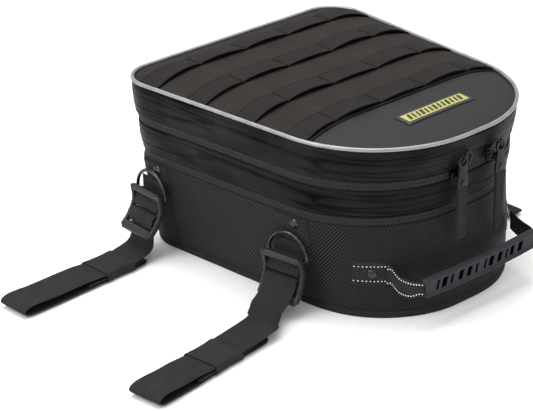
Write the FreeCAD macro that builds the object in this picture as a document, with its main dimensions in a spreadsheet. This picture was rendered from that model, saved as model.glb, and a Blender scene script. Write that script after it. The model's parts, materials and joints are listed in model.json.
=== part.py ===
"""Motorcycle tail bag: a stiffened soft case with an opening lid, an expansion zip, a carry handle and
four webbing straps that tie it to a seat. Millimetres, +Z up, origin at the centre of the base underside.
-Y is the rounded rear end with the handle, -X is the left side."""
import FreeCAD, Part
import math
import os
import Sketcher

Vector = FreeCAD.Vector
Rotation = FreeCAD.Rotation
Placement = FreeCAD.Placement
UP = Vector(0, 0, 1)

doc = FreeCAD.newDocument("tail_bag")

# ---------------------------------------------------------------- driving dimensions
# Each outline level is given by its height, how far it lies inside the widest outline at the side,
# front and rear, and its two corner radii.
LEVELS = {
    "base": (0.0, 16.0, 10.0, 4.0, 104.0, 44.0),
    "shell_floor": (5.0, 15.3, 10.0, 4.5, 105.0, 44.0),
    "binding_top": (7.0, 15.0, 10.0, 4.7, 105.0, 44.0),
    "stiffener_top": (7.4, 15.0, 10.0, 4.7, 105.0, 44.0),
    "shell_top": (97.0, 3.0, 10.0, 13.0, 115.0, 38.0),
    "fold_low": (97.0, 4.0, 11.0, 14.0, 114.0, 37.0),
    "fold_split": (101.0, 4.0, 10.9, 13.8, 114.0, 37.0),
    "fold_rejoin": (101.4, 4.0, 10.9, 13.8, 114.0, 37.0),
    "fold_high": (105.5, 4.0, 10.8, 13.5, 114.0, 37.0),
    "middle_low": (105.5, 3.0, 10.0, 12.5, 115.0, 38.0),
    "middle_high": (134.3, 2.2, 5.5, 9.0, 117.0, 38.0),
    "main_low": (134.3, 3.2, 6.5, 10.0, 116.0, 37.0),
    "main_split": (138.6, 3.1, 6.3, 9.5, 116.0, 37.0),
    "main_rejoin": (139.0, 3.1, 6.3, 9.5, 116.0, 37.0),
    "main_high": (143.3, 3.0, 6.0, 9.0, 116.0, 37.0),
    "lid_low": (143.3, 1.6, 3.6, 7.0, 118.0, 37.0),
    "lid_high": (176.8, 0.6, 0.6, 0.6, 120.0, 37.0),
    "piping_top": (180.8, 0.6, 0.6, 0.6, 120.0, 37.0),
    "board_low": (174.0, 8.0, 8.0, 8.0, 112.0, 30.0),
    "board_high": (176.8, 8.0, 8.0, 8.0, 112.0, 30.0),
    "dome_edge": (176.9, 3.8, 3.8, 3.8, 117.0, 34.0),
    "dome_shoulder": (182.6, 24.0, 24.0, 24.0, 97.0, 22.0),
    "dome_crown": (186.6, 56.0, 56.0, 56.0, 65.0, 12.0),
}
LEVEL_FIELDS = ("height", "side", "front", "rear", "rearcorner", "frontcorner")

SIZES = {
    # outline
    "bag_length": 350.0, "front_width": 311.0, "rear_width": 250.0, "rear_bulge": 640.0,
    # sheet materials
    "fabric": 1.6, "foam": 3.0, "board_inset": 5.2, "zip_tape": 1.8,
    "webbing": 1.6, "strap_width": 38.0, "row_width": 25.4, "binding_stand": 1.0, "skin_gap": 0.1,
    # folded gusset behind the expansion zip
    "gusset_outer": 2.4, "gusset_inner": 3.6, "gusset_low": 97.2, "gusset_high": 105.3,
    # lid hinge tape at the front, and the lid's inner pocket
    "tape_width": 240.0, "tape_y": 169.3, "tape_thick": 0.9, "tape_low": 134.6, "tape_high": 143.0,
    "pocket_width": 180.0, "pocket_length": 160.0, "pocket_z": 171.0, "pocket_thick": 1.2,
    # lid dress
    "piping_stand": 1.2, "piping_depth": 2.8, "layer": 1.3,
    "panel_rear_edge": -83.0, "first_row": 127.7, "row_pitch": 65.3,
    "patch_length": 90.0, "patch_width": 20.0, "patch_y": -122.0,
    # tabs and rivets on the wall
    "tab_thick": 1.8, "tab_width": 40.0, "tab_top": 96.0, "tab_drop": 87.0,
    "rivet_radius": 5.0, "rivet_height": 1.4, "rivet_gap": 0.2, "rivet_drop": 6.0, "rivet_shift": 6.0,
    # hanging hardware; heights and places are those of each ring's bar
    "front_station": 125.0, "rear_station": -60.0, "front_bar_z": 62.0, "rear_bar_z": 53.0,
    "front_toe": 2.0, "rear_toe": 9.0, "bar_stand": 9.0, "front_lean": 12.0, "rear_lean": 0.0,
    "ring_wire": 1.8, "ring_half": 22.8, "ring_leg": 3.5, "loop_play": 0.3,
    "hanger_top": 16.0, "hanger_back": -4.7, "pivot_x": 5.5, "pivot_z": -11.0,
    "buckle_width": 48.0, "buckle_slot": 40.4, "bar_radius": 2.1, "rail_half": 2.7,
    # handle
    "grip_length": 154.0, "grip_height": 18.5, "grip_thick": 8.0, "grip_y": -186.0, "grip_z": 44.3,
    "grip_bow": 3.0, "grip_slot": 2.2, "handle_width": 20.0, "handle_pivot_y": -145.0,
    "handle_pivot_z": 48.0, "anchor_inner_x": 84.0, "anchor_outer_x": 106.0, "anchor_low": 36.0,
    "anchor_high": 60.0,
    # zip sliders and pulls
    "slider_length": 17.0, "slider_height": 8.2, "slider_depth": 5.4, "slider_stand": 0.9,
    "left_slider_x": -18.0, "right_slider_x": 34.0, "fold_slider_x": 60.0, "fold_slider_height": 7.6,
    "crown_back": 3.0, "crown_lean": 3.2, "crown_thick": 2.0, "crown_low": 2.0, "crown_top": 20.0,
    "crown_width": 13.0, "crown_window": 7.0,
    "pull_gap": 0.6, "pull_rise": 22.2, "fold_pull_rise": 2.0, "pull_length": 34.0, "pull_width": 14.0,
    "pull_thick": 2.0, "pull_eye": 3.2, "pull_corner": 1.8,
    "tail_width": 12.0, "tail_thick": 3.2, "left_tail": 52.0, "right_tail": 58.0,
    # straps on the ground
    "bundle_thick": 6.6, "bundle_lift": 2.2, "keeper_length": 36.0, "keeper_wall": 1.4,
    "keeper_play": 0.5,
}


def build_sheet():
    """The spreadsheet with every driving dimension and its alias."""
    sheet = doc.addObject("Spreadsheet::Sheet", "Sizes")
    cells = dict(SIZES)
    for level, values in LEVELS.items():
        for field, value in zip(LEVEL_FIELDS, values):
            cells[level + "_" + field] = value
    for row, (alias, value) in enumerate(cells.items(), start=1):
        sheet.set("A%d" % row, alias)
        sheet.set("B%d" % row, str(value))
        sheet.setAlias("B%d" % row, alias)
    doc.recompute()
    return sheet


sheet = build_sheet()
nodes = []


def size(alias):
    """The number that the sheet holds under this alias."""
    return float(getattr(sheet, alias))


def ref(alias):
    return "Sizes." + alias


def keep(obj, name):
    """Marks an object as a sub-part: its Label names its node and file."""
    obj.Label = name
    nodes.append(obj)
    return obj


def origin_plane(body, role):
    return next(f for f in body.Origin.OriginFeatures if f.Role == role)


# ---------------------------------------------------------------- bag outline
def half_width(y, inset=0.0):
    """Half the bag's width at a place along its tapering side."""
    along = y / size("bag_length") + 0.5
    rear = size("rear_width") / 2
    return rear + (size("front_width") / 2 - rear) * along - inset


def corner_centre_rear(inset_side, inset_rear, corner):
    """Centre of the arc that joins the right side to the bulging rear end."""
    length = size("bag_length")
    bulge = size("rear_bulge")
    start = Vector(half_width(-length / 2, inset_side), -length / 2, 0)
    side = (Vector(half_width(length / 2, inset_side), length / 2, 0) - start).normalize()
    inward = Vector(-side.y, side.x, 0)
    bulge_centre = Vector(0, inset_rear - length / 2 + bulge, 0)
    offset = start + inward * corner - bulge_centre
    reach = bulge - corner
    b = offset.dot(side)
    c = offset.dot(offset) - reach * reach
    return start + inward * corner + side * (-b - math.sqrt(b * b - c)), side, inward, bulge_centre


def outline_geometry(level, wall):
    """Eight tangent lines and arcs, anticlockwise from the front edge."""
    side_in = size(level + "_side") + wall
    front_y = size("bag_length") / 2 - size(level + "_front") - wall
    rear_corner = size(level + "_rearcorner") - wall
    front_corner = size(level + "_frontcorner") - wall
    rear_in = size(level + "_rear") + wall
    rear_centre, side, inward, bulge_centre = corner_centre_rear(side_in, rear_in, rear_corner)
    side_low = rear_centre - inward * rear_corner
    front_cy = front_y - front_corner
    base = Vector(half_width(0, side_in), 0, 0) + inward * front_corner
    front_centre = base + side * ((front_cy - base.y) / side.y)
    side_high = front_centre - inward * front_corner
    side_angle = math.atan2(-inward.y, -inward.x)
    to_corner = rear_centre - bulge_centre
    bulge_angle = math.atan2(to_corner.y, to_corner.x)

    def mirrored(v):
        return Vector(-v.x, v.y, 0)

    def arc(centre, radius, start, end):
        return Part.ArcOfCircle(Part.Circle(centre, UP, radius), start, end)

    front_right = Vector(front_centre.x, front_y, 0)
    return [
        Part.LineSegment(front_right, mirrored(front_right)),
        arc(mirrored(front_centre), front_corner, math.pi / 2, math.pi - side_angle),
        Part.LineSegment(mirrored(side_high), mirrored(side_low)),
        arc(mirrored(rear_centre), rear_corner, math.pi - side_angle, math.pi - bulge_angle),
        arc(bulge_centre, size("rear_bulge"), -math.pi - bulge_angle, bulge_angle),
        arc(rear_centre, rear_corner, bulge_angle, side_angle),
        Part.LineSegment(side_low, side_high),
        arc(front_centre, front_corner, side_angle, math.pi / 2),
    ]


def outline_sketch(body, level, wall="0"):
    """A level's outline, drawn in by a wall thickness that is an expression of the sheet's cells."""
    wall_value = float(sheet.evalExpression(wall.replace("Sizes.", "")))
    sketch = body.newObject("Sketcher::SketchObject", "outline_" + level)
    sketch.AttachmentSupport = [(origin_plane(body, "XY_Plane"), "")]
    sketch.MapMode = "FlatFace"
    sketch.setExpression("AttachmentOffset.Base.z", ref(level + "_height"))
    geometry = outline_geometry(level, wall_value)
    sketch.addGeometry(geometry, False)
    count = len(geometry)
    front, left, bulge, right, rear_corner, front_corner = 0, 2, 4, 6, 5, 7
    for i in range(count):
        sketch.addConstraint(Sketcher.Constraint("Tangent", i, 2, (i + 1) % count, 1))
    sketch.addConstraint(Sketcher.Constraint("Horizontal", front))
    sketch.addConstraint(Sketcher.Constraint("Symmetric", left, 1, right, 2, -2))
    sketch.addConstraint(Sketcher.Constraint("Symmetric", left, 2, right, 1, -2))
    sketch.addConstraint(Sketcher.Constraint("PointOnObject", bulge, 3, -2))
    length = size("bag_length")
    inset = size(level + "_side") + wall_value

    def bind(kind, args, value, expression):
        index = sketch.addConstraint(Sketcher.Constraint(kind, *args, value))
        sketch.setExpression("Constraints[%d]" % index, expression)

    for end, width in (("/ 2", "front_width"), ("/ -2", "rear_width")):
        y = length / 2 if width == "front_width" else -length / 2
        point = sketch.addGeometry(Part.Point(Vector(half_width(y, inset), y, 0)), True)
        sketch.addConstraint(Sketcher.Constraint("PointOnObject", point, 1, right))
        bind("DistanceX", (-1, 1, point, 1), half_width(y, inset),
             "%s / 2 - %s - (%s)" % (ref(width), ref(level + "_side"), wall))
        if y > 0:
            bind("DistanceY", (-1, 1, point, 1), y, ref("bag_length") + " / 2")
        else:
            bind("DistanceY", (point, 1, -1, 1), -y, ref("bag_length") + " / 2")
    bind("DistanceY", (-1, 1, front, 1), geometry[0].StartPoint.y,
         "%s / 2 - %s - (%s)" % (ref("bag_length"), ref(level + "_front"), wall))
    bind("Radius", (bulge,), size("rear_bulge"), ref("rear_bulge"))
    bind("DistanceY", (-1, 1, bulge, 3), geometry[bulge].Center.y,
         "%s + %s + (%s) - %s / 2" % (ref("rear_bulge"), ref(level + "_rear"), wall, ref("bag_length")))
    bind("Radius", (rear_corner,), geometry[rear_corner].Radius,
         "%s - (%s)" % (ref(level + "_rearcorner"), wall))
    bind("Radius", (front_corner,), geometry[front_corner].Radius,
         "%s - (%s)" % (ref(level + "_frontcorner"), wall))
    return sketch


def loft(body, kind, levels, wall):
    sketches = [outline_sketch(body, level, wall) for level in levels]
    feature = body.newObject("PartDesign::" + kind, kind)
    feature.Profile = sketches[0]
    feature.Sections = sketches[1:]
    feature.Ruled = True
    return feature


def slab(name, levels, inset="0"):
    """A solid between outlines, one above the other."""
    body = doc.addObject("PartDesign::Body", name)
    loft(body, "AdditiveLoft", levels, inset)
    return body


def ring(name, levels, outer, inner):
    """A wall that runs round the bag between two levels, from its outer to its inner inset."""
    body = slab(name, levels, outer)
    loft(body, "SubtractiveLoft", levels, inner)
    return body


def plus(*aliases):
    return " + ".join(ref(a) for a in aliases)


# ---------------------------------------------------------------- casing
def bound_box(name, length, width, height, x, y, z):
    """A box whose sides and corner are expressions of the sheet's cells."""
    box = doc.addObject("Part::Box", name)
    box.setExpression("Length", length)
    box.setExpression("Width", width)
    box.setExpression("Height", height)
    box.setExpression("Placement.Base.x", x)
    box.setExpression("Placement.Base.y", y)
    box.setExpression("Placement.Base.z", z)
    return box


def build_casing():
    lined = plus("fabric", "foam")
    outside = "0 - " + ref("binding_stand")
    keep(slab("base_panel", ("base", "shell_floor")), "base_panel")
    keep(slab("base_stiffener", ("shell_floor", "stiffener_top"), ref("board_inset")), "base_stiffener")
    keep(ring("base_binding", ("base", "binding_top"), outside, "0 - " + ref("skin_gap")), "base_binding")
    keep(ring("lower_shell", ("shell_floor", "shell_top"), "0", ref("fabric")), "lower_shell")
    keep(ring("lower_lining", ("shell_floor", "shell_top"), ref("fabric"), lined), "lower_lining")
    keep(ring("expansion_zip_lower", ("fold_low", "fold_split"), "0", ref("zip_tape")),
         "expansion_zip_lower")
    keep(ring("expansion_zip_upper", ("fold_rejoin", "fold_high"), "0", ref("zip_tape")),
         "expansion_zip_upper")
    keep(ring("middle_band", ("middle_low", "middle_high"), "0", ref("fabric")), "middle_band")
    keep(ring("middle_lining", ("middle_low", "middle_high"), ref("fabric"), lined), "middle_lining")
    keep(ring("main_zip_lower", ("main_low", "main_split"), "0", ref("zip_tape")), "main_zip_lower")
    keep(ring("main_zip_upper", ("main_rejoin", "main_high"), "0", ref("zip_tape")), "main_zip_upper")
    keep(ring("lid_band", ("lid_low", "lid_high"), "0", ref("fabric")), "lid_band")
    keep(ring("lid_lining", ("lid_low", "lid_high"), ref("fabric"), lined), "lid_lining")


def build_gusset():
    """The folded strip of thin fabric that opens out when the expansion zip is undone."""
    body = doc.addObject("PartDesign::Body", "gusset")
    for kind, inset in (("AdditiveLoft", "gusset_outer"), ("SubtractiveLoft", "gusset_inner")):
        feature = loft(body, kind, ("fold_low", "fold_high"), ref(inset))
        feature.Profile[0].setExpression("AttachmentOffset.Base.z", ref("gusset_low"))
        feature.Sections[0][0].setExpression("AttachmentOffset.Base.z", ref("gusset_high"))
    keep(body, "gusset")


def build_lid_inside():
    keep(slab("lid_board", ("board_low", "board_high")), "lid_board")
    keep(bound_box("lid_pocket", ref("pocket_width"), ref("pocket_length"), ref("pocket_thick"),
                   ref("pocket_width") + " / -2", ref("pocket_length") + " / -2", ref("pocket_z")),
         "lid_pocket")
    keep(bound_box("lid_hinge_tape", ref("tape_width"), ref("tape_thick"),
                   "%s - %s" % (ref("tape_high"), ref("tape_low")),
                   ref("tape_width") + " / -2", ref("tape_y"), ref("tape_low")), "lid_hinge_tape")


# ---------------------------------------------------------------- lid dress
DOME = ("dome_edge", "dome_shoulder", "dome_crown")


def lifted_dome(body, kind, layers):
    """The domed top, raised by a number of fabric layers."""
    feature = loft(body, kind, DOME, "0")
    sketches = [feature.Profile[0]] + [section[0] for section in feature.Sections]
    for level, sketch in zip(DOME, sketches):
        sketch.setExpression("AttachmentOffset.Base.z",
                             "%s + %d * %s" % (ref(level + "_height"), layers, ref("layer")))


def dome_layer(number):
    """One layer of fabric that lies on the dome, above the layers under it."""
    body = doc.addObject("PartDesign::Body", "dome_layer_%d" % number)
    lifted_dome(body, "AdditiveLoft", number)
    lifted_dome(body, "SubtractiveLoft", number - 1)
    return body


def cut_from(layer, name, box):
    piece = doc.addObject("Part::Common", name)
    piece.Base = layer
    piece.Tool = box
    return keep(piece, name)


def build_lid_dress():
    body = doc.addObject("PartDesign::Body", "lid_panel")
    lifted_dome(body, "AdditiveLoft", 0)
    keep(body, "lid_panel")
    keep(ring("lid_piping", ("lid_high", "piping_top"), "0 - " + ref("piping_stand"),
              ref("piping_depth")), "lid_piping")
    first = dome_layer(1)
    second = dome_layer(2)
    wide = ref("front_width") + " + 20"
    across = ref("front_width") + " / -2 - 10"
    low = ref("dome_edge_height")
    tall = "%s - %s + 10" % (ref("dome_crown_height"), ref("dome_edge_height"))
    cut_from(first, "molle_panel",
             bound_box("panel_area", wide, "%s / 2 - %s" % (ref("bag_length"), ref("panel_rear_edge")),
                       tall, across, ref("panel_rear_edge"), low))
    for row in range(4):
        middle = "%s - %d * %s - %s / 2" % (ref("first_row"), row, ref("row_pitch"), ref("row_width"))
        cut_from(second, "molle_row_%d" % (row + 1),
                 bound_box("row_area_%d" % (row + 1), wide, ref("row_width"), tall, across, middle, low))
    cut_from(first, "patch",
             bound_box("patch_area", ref("patch_length"), ref("patch_width"), tall,
                       ref("patch_length") + " / -2", "%s - %s / 2" % (ref("patch_y"), ref("patch_width")),
                       low))


# ---------------------------------------------------------------- tabs, patches and rivets on the wall
def wall_inset(z):
    """How far the lower shell lies inside the widest outline at a height."""
    low, high = size("shell_floor_height"), size("shell_top_height")
    share = (z - low) / (high - low)
    return size("shell_floor_side") * (1 - share) + size("shell_top_side") * share


def wall_x(y, z):
    return half_width(y, wall_inset(z))


def build_wall_pieces():
    layer = ring("wall_layer", ("shell_floor", "shell_top"), "0 - " + ref("tab_thick"),
                 "0 - " + ref("skin_gap"))
    drop = ref("tab_drop")
    boxes = []
    for end in ("front", "rear"):
        low = "%s - %s / 2" % (ref(end + "_station"), ref("tab_width"))
        boxes.append(bound_box("tab_area_" + end, ref("front_width") + " + 20", ref("tab_width"), drop,
                               ref("front_width") + " / -2 - 10", low, ref("tab_top") + " - " + drop))
    areas = doc.addObject("Part::Compound", "tab_areas")
    areas.Links = boxes
    cut_from(layer, "side_tabs", areas)
    reach = "%s - %s" % (ref("anchor_outer_x"), ref("anchor_inner_x"))
    tall = "%s - %s" % (ref("anchor_high"), ref("anchor_low"))
    for side, x in (("left", "0 - " + ref("anchor_outer_x")), ("right", ref("anchor_inner_x"))):
        cut_from(layer, "handle_anchor_" + side,
                 bound_box("anchor_area_" + side, reach, ref("bag_length") + " / 2", tall, x,
                           ref("bag_length") + " / -2 - 10", ref("anchor_low")))


def rivet(name, spot, outward):
    """A low domed head that sits on the wall and faces outward."""
    body = doc.addObject("PartDesign::Body", name)
    sketch = body.newObject("Sketcher::SketchObject", "head")
    sketch.AttachmentSupport = [(origin_plane(body, "XY_Plane"), "")]
    sketch.MapMode = "FlatFace"
    sketch.addGeometry(Part.Circle(Vector(), UP, size("rivet_radius")), False)
    sketch.addConstraint(Sketcher.Constraint("Coincident", 0, 3, -1, 1))
    sketch.addConstraint(Sketcher.Constraint("Radius", 0, size("rivet_radius")))
    sketch.setExpression("Constraints[1]", ref("rivet_radius"))
    pad = body.newObject("PartDesign::Pad", "Pad")
    pad.Profile = sketch
    pad.setExpression("Length", ref("rivet_height"))
    doc.recompute()
    dome = body.newObject("PartDesign::Fillet", "Dome")
    dome.Base = (pad, [edge_name(pad.Shape, size("rivet_height"))])
    dome.setExpression("Radius", ref("rivet_height") + " * 0.9")
    body.Placement = Placement(spot, Rotation(UP, outward))
    return body


def edge_name(shape, height):
    """The name of the round edge that lies at this height."""
    for index, edge in enumerate(shape.Edges, start=1):
        if abs(edge.BoundBox.ZMin - height) < 0.001 and abs(edge.BoundBox.ZMax - height) < 0.001:
            return "Edge%d" % index
    raise RuntimeError("no edge at height %s" % height)


def build_rivets():
    heads = []
    out = size("tab_thick") + size("skin_gap") + size("rivet_gap")
    taper = (size("front_width") - size("rear_width")) / 2 / size("bag_length")
    lean = (size("shell_floor_side") - size("shell_top_side")) / (
        size("shell_top_height") - size("shell_floor_height"))
    for end in ("front", "rear"):
        y = size(end + "_station") - size("rivet_shift")
        z = size("tab_top") - size("rivet_drop")
        for sign in (-1, 1):
            spot = Vector(sign * (wall_x(y, z) + out), y, z)
            heads.append(rivet("rivet_%s_%d" % (end, sign), spot, Vector(sign, -taper, -lean)))
    z = (size("anchor_low") + size("anchor_high")) / 2
    x = (size("anchor_inner_x") + size("anchor_outer_x")) / 2
    for sign in (-1, 1):
        y, outward = corner_face(x, z)
        outward.x *= sign
        spot = Vector(sign * x, y, z) + outward * out
        heads.append(rivet("rivet_handle_%d" % sign, spot, outward))
    group = doc.addObject("Part::Compound", "rivets")
    group.Links = heads
    keep(group, "rivets")


def corner_face(x, z):
    """Where the rounded rear corner lies at this x and height, and which way it faces."""
    share = (z - size("shell_floor_height")) / (size("shell_top_height") - size("shell_floor_height"))

    def at(field):
        return size("shell_floor_" + field) * (1 - share) + size("shell_top_" + field) * share

    centre = corner_centre_rear(at("side"), at("rear"), at("rearcorner"))[0]
    run = x - centre.x
    y = centre.y - math.sqrt(at("rearcorner") ** 2 - run * run)
    return y, Vector(run, y - centre.y, 0).normalize()


# ---------------------------------------------------------------- hanging hardware
STATIONS = {"front_left": -1, "rear_left": -1, "front_right": 1, "rear_right": 1}


def station_frame(station):
    """The place of a ring's bar: local X points away from the wall, local Y lies along the bar."""
    side = STATIONS[station]
    end = station.split("_")[0]
    y = size(end + "_station")
    z = size(end + "_bar_z")
    toe = size(end + "_toe") * (1 if end == "rear" else -1)
    x = side * (wall_x(y, z) + size("bar_stand"))
    turn = toe if side < 0 else -toe
    return Placement(Vector(x, y, z), Rotation(UP, turn + (180 if side < 0 else 0)))


def leaning(station):
    """The station's frame, turned about the buckle's pivot bar by the lean of the buckle."""
    lean = size(station.split("_")[0] + "_lean")
    pivot = Vector(size("pivot_x"), 0, size("pivot_z"))
    tilt = Placement(Vector(), Rotation(Vector(0, 1, 0), -lean), pivot)
    return station_frame(station) * tilt


def add_feature(name, shape, place):
    """A shape of its own, for pieces that sketches and primitives don't suit."""
    piece = doc.addObject("Part::Feature", name)
    piece.Shape = shape
    piece.Placement = place
    return keep(piece, name)


def side_face(points):
    """A flat face in the local XZ plane."""
    corners = [Vector(x, 0, z) for x, z in points]
    return Part.Face(Part.makePolygon(corners + corners[:1]))


def across(shape, width):
    """Extrudes an XZ face by a width centred on the XZ plane."""
    moved = shape.translated(Vector(0, -width / 2, 0))
    return moved.extrude(Vector(0, width, 0))


def rod(radius, width, x, z):
    return Part.makeCylinder(radius, width, Vector(x, -width / 2, z), Vector(0, 1, 0))


def make_ring(station):
    """A wire D-ring: straight bar, two short legs and a half circle."""
    wire = size("ring_wire")
    half = size("ring_half")
    leg = size("ring_leg")
    shape = rod(wire, 2 * half, 0, 0)
    for y in (-half, half):
        shape = shape.fuse(Part.makeSphere(wire, Vector(0, y, 0)))
        shape = shape.fuse(Part.makeCylinder(wire, leg, Vector(0, y, 0)))
    arc = Part.makeTorus(half, wire, Vector(0, 0, leg), Vector(1, 0, 0))
    keep_high = Part.makeBox(4 * wire, 4 * half, 2 * half, Vector(-2 * wire, -2 * half, leg))
    shape = shape.fuse(arc.common(keep_high)).removeSplitter()
    add_feature("d_ring_" + station, shape, station_frame(station))


def make_hanger(station):
    """Webbing that leaves the tab, holds the ring's bar in one fold and the buckle's bar in the next."""
    ring_r = size("ring_wire") + size("loop_play")
    bar_r = size("bar_radius") + size("loop_play")
    ply = size("webbing")
    x, z = size("pivot_x"), size("pivot_z")
    width = size("strap_width")
    run = math.hypot(x, z)
    normal_x, normal_z = -z / run, x / run
    ring_out, bar_out = ring_r + ply, bar_r + ply
    neck = side_face([(normal_x * ring_out, normal_z * ring_out),
                      (x + normal_x * bar_out, z + normal_z * bar_out),
                      (x - normal_x * bar_out, z - normal_z * bar_out),
                      (-normal_x * ring_out, -normal_z * ring_out)])
    back, top = size("hanger_back"), size("hanger_top")
    strip = side_face([(back, top), (back + ply, top), (-0.2 * ring_out, 0.95 * ring_out),
                       (-0.95 * ring_out, -0.2 * ring_out)])
    shape = rod(ring_out, width, 0, 0).fuse([rod(bar_out, width, x, z), across(neck, width),
                                             across(strip, width)])
    shape = shape.cut([rod(ring_r, width + 2, 0, 0), rod(bar_r, width + 2, x, z)])
    add_feature("hanger_" + station, shape.removeSplitter(), station_frame(station))


BUCKLE_BARS = {"top": (9.5, 4.0), "pivot": (5.5, -11.0), "grip": (8.5, -23.0), "lip": (15.5, -36.0)}


def rail_outline(half):
    """The S-shaped side view of the buckle's rails: one pair of arcs in, one pair out."""
    top, pivot, grip, lip = (Vector(x, 0, z) for x, z in BUCKLE_BARS.values())
    middle = Vector(11.1, 0, -29.5)

    def side(sign):
        spots = []
        for before, spot, after in ((top, top, pivot), (top, pivot, grip), (pivot, grip, middle),
                                    (grip, middle, lip), (middle, lip, lip)):
            along = (after - before).normalize()
            spots.append(spot + Vector(along.z, 0, -along.x) * sign * half)
        return spots

    inner, outer = side(1), side(-1)
    edges = [Part.Arc(inner[0], inner[1], inner[2]).toShape(),
             Part.Arc(inner[2], inner[3], inner[4]).toShape(),
             Part.Arc(inner[4], lip + (lip - middle).normalize() * half, outer[4]).toShape(),
             Part.Arc(outer[4], outer[3], outer[2]).toShape(),
             Part.Arc(outer[2], outer[1], outer[0]).toShape(),
             Part.Arc(outer[0], top + (top - pivot).normalize() * half, inner[0]).toShape()]
    return Part.Face(Part.Wire(edges))


def make_buckle(station):
    """A ladder-lock buckle: two S-shaped rails, three bars and a thick lip."""
    width = size("buckle_width")
    slot = size("buckle_slot")
    profile = rail_outline(size("rail_half"))
    shape = across(profile, width).cut(across(rail_outline(size("rail_half") + 3), slot))
    bars = []
    for name, (x, z) in BUCKLE_BARS.items():
        if name != "lip":
            bars.append(rod(size("bar_radius"), slot + 2, x, z))
    lip_x, lip_z = BUCKLE_BARS["lip"]
    lip = side_face([(lip_x - 4.2, lip_z + 4.4), (lip_x + 1.0, lip_z + 4.4), (lip_x + 3.4, lip_z - 0.6),
                     (lip_x + 2.4, lip_z - 2.6), (lip_x - 1.4, lip_z - 2.2)])
    shape = shape.fuse(bars + [across(lip, slot + 2)])
    add_feature("buckle_" + station, shape.removeSplitter(), leaning(station))


# ---------------------------------------------------------------- straps and keepers
def section(spot, along, thick, width):
    """A flat rectangle across a strap that runs in this direction."""
    flat = Vector(along.x, along.y, 0).normalize()
    side = Vector(-flat.y, flat.x, 0) * (width / 2)
    lift = side.cross(along).normalize() * (thick / 2)
    corners = [spot - side - lift, spot + side - lift, spot + side + lift, spot - side + lift]
    return Part.makePolygon(corners + corners[:1])


def ribbon(stations, width):
    """A strap through (place, thickness) stations, its width always level."""
    wires = []
    last = len(stations) - 1
    for i, (spot, thick) in enumerate(stations):
        before = stations[max(i - 1, 0)][0]
        after = stations[min(i + 1, last)][0]
        wires.append(section(spot, (after - before).normalize(), thick, width))
    return Part.makeLoft(wires, True, True)


def local_spot(station, x, z):
    """A place given in the frame of the leaning buckle."""
    return leaning(station).multVec(Vector(x, 0, z))


# Each strap leaves its buckle either over the lip or behind it, drops to the ground at the landing
# and runs straight out to its far end. The keeper's place is a share of that run.
STRAPS = {
    "front_left": {"over_lip": False, "landing": (-193.0, 120.0), "end": (-338.0, 113.0), "keeper": 0.16},
    "rear_left": {"over_lip": True, "landing": (-192.0, -83.0), "end": (-350.0, -104.0), "keeper": 0.42},
    "front_right": {"over_lip": False, "landing": (193.0, 120.0), "end": (338.0, 113.0), "keeper": 0.16},
}
FREE_FALL = {True: ((12.2, -23.0), (21.0, -36.0), (22.4, -41.5)), False: ((9.2, -31.0), (7.6, -40.0))}


def fall_spots(station, over_lip):
    return [local_spot(station, x, z) for x, z in FREE_FALL[over_lip]]


def make_strap(station):
    """A strap with one ply down from the buckle and a folded bundle along the ground."""
    spec = STRAPS[station]
    side = STATIONS[station]
    ply = size("webbing")
    thick = size("bundle_thick")
    bundle_z = size("bundle_lift") + thick / 2
    spots = fall_spots(station, spec["over_lip"])
    last = spots[-1]
    landing = Vector(spec["landing"][0], spec["landing"][1], bundle_z)
    end = Vector(spec["end"][0], spec["end"][1], bundle_z)
    if not spec["over_lip"]:
        spots.append(Vector(last.x + side * 0.5, last.y, last.z * 0.6))
    for share, height in ((0.22, 0.40), (0.5, 0.23)):
        spot = last + (landing - last) * share
        spots.append(Vector(spot.x, spot.y, last.z * height))
    ahead = (end - landing).normalize()
    stations = [(spot, ply) for spot in spots]
    stations += [(landing, thick * 0.9), (landing + ahead * 12, thick), (end - ahead * 12, thick),
                 (end, thick * 0.6)]
    add_feature("strap_" + station, ribbon(stations, size("strap_width")), Placement())
    turn = math.degrees(math.atan2(ahead.y, ahead.x))
    make_keeper(station, landing + (end - landing) * spec["keeper"] - Vector(0, 0, bundle_z), turn)


def make_rear_right_strap():
    """The strap that is folded forward, so that its bundle lies along the wall."""
    station = "rear_right"
    width = size("strap_width")
    ply = size("webbing")
    top = size("bundle_lift") + size("bundle_thick")
    spots = fall_spots(station, True)
    last = spots[-1]
    spots.append(Vector(last.x + 5, last.y, top + 0.5))
    spots.append(Vector(last.x + 11, last.y, top - 0.6))
    fall = ribbon([(spot, ply) for spot in spots], width)
    bundle_x = last.x + 4
    run_start = Vector(bundle_x, last.y - width / 2, top - size("bundle_thick") / 2)
    run_end = run_start + Vector(0, 150, 0)
    bundle = ribbon([(run_start, size("bundle_thick")), (run_end, size("bundle_thick"))], width)
    add_feature("strap_rear_right", fall.fuse(bundle).removeSplitter(), Placement())
    make_keeper(station, Vector(bundle_x, run_start.y + 85, 0), 90)


def make_keeper(station, spot, turn):
    """An elastic loop round the folded bundle."""
    length = size("keeper_length")
    play = size("keeper_play")
    wall = size("keeper_wall")
    width = size("strap_width") + 2 * play
    height = size("bundle_thick") + 2 * play
    low = size("bundle_lift") - play
    hole = Part.makeBox(length + 2, width, height, Vector(-length / 2 - 1, -width / 2, low))
    outside = Part.makeBox(length, width + 2 * wall, height + 2 * wall,
                           Vector(-length / 2, -width / 2 - wall, low - wall))
    add_feature("keeper_" + station, outside.cut(hole), Placement(spot, Rotation(UP, turn)))


# ---------------------------------------------------------------- handle
def handle_curve(x):
    """How far back the handle's middle line lies at this place along the grip."""
    bow = size("grip_bow")
    half = size("grip_length") / 2
    return size("grip_y") - bow * (1 - (x / half) ** 2) + bow / 2


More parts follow.
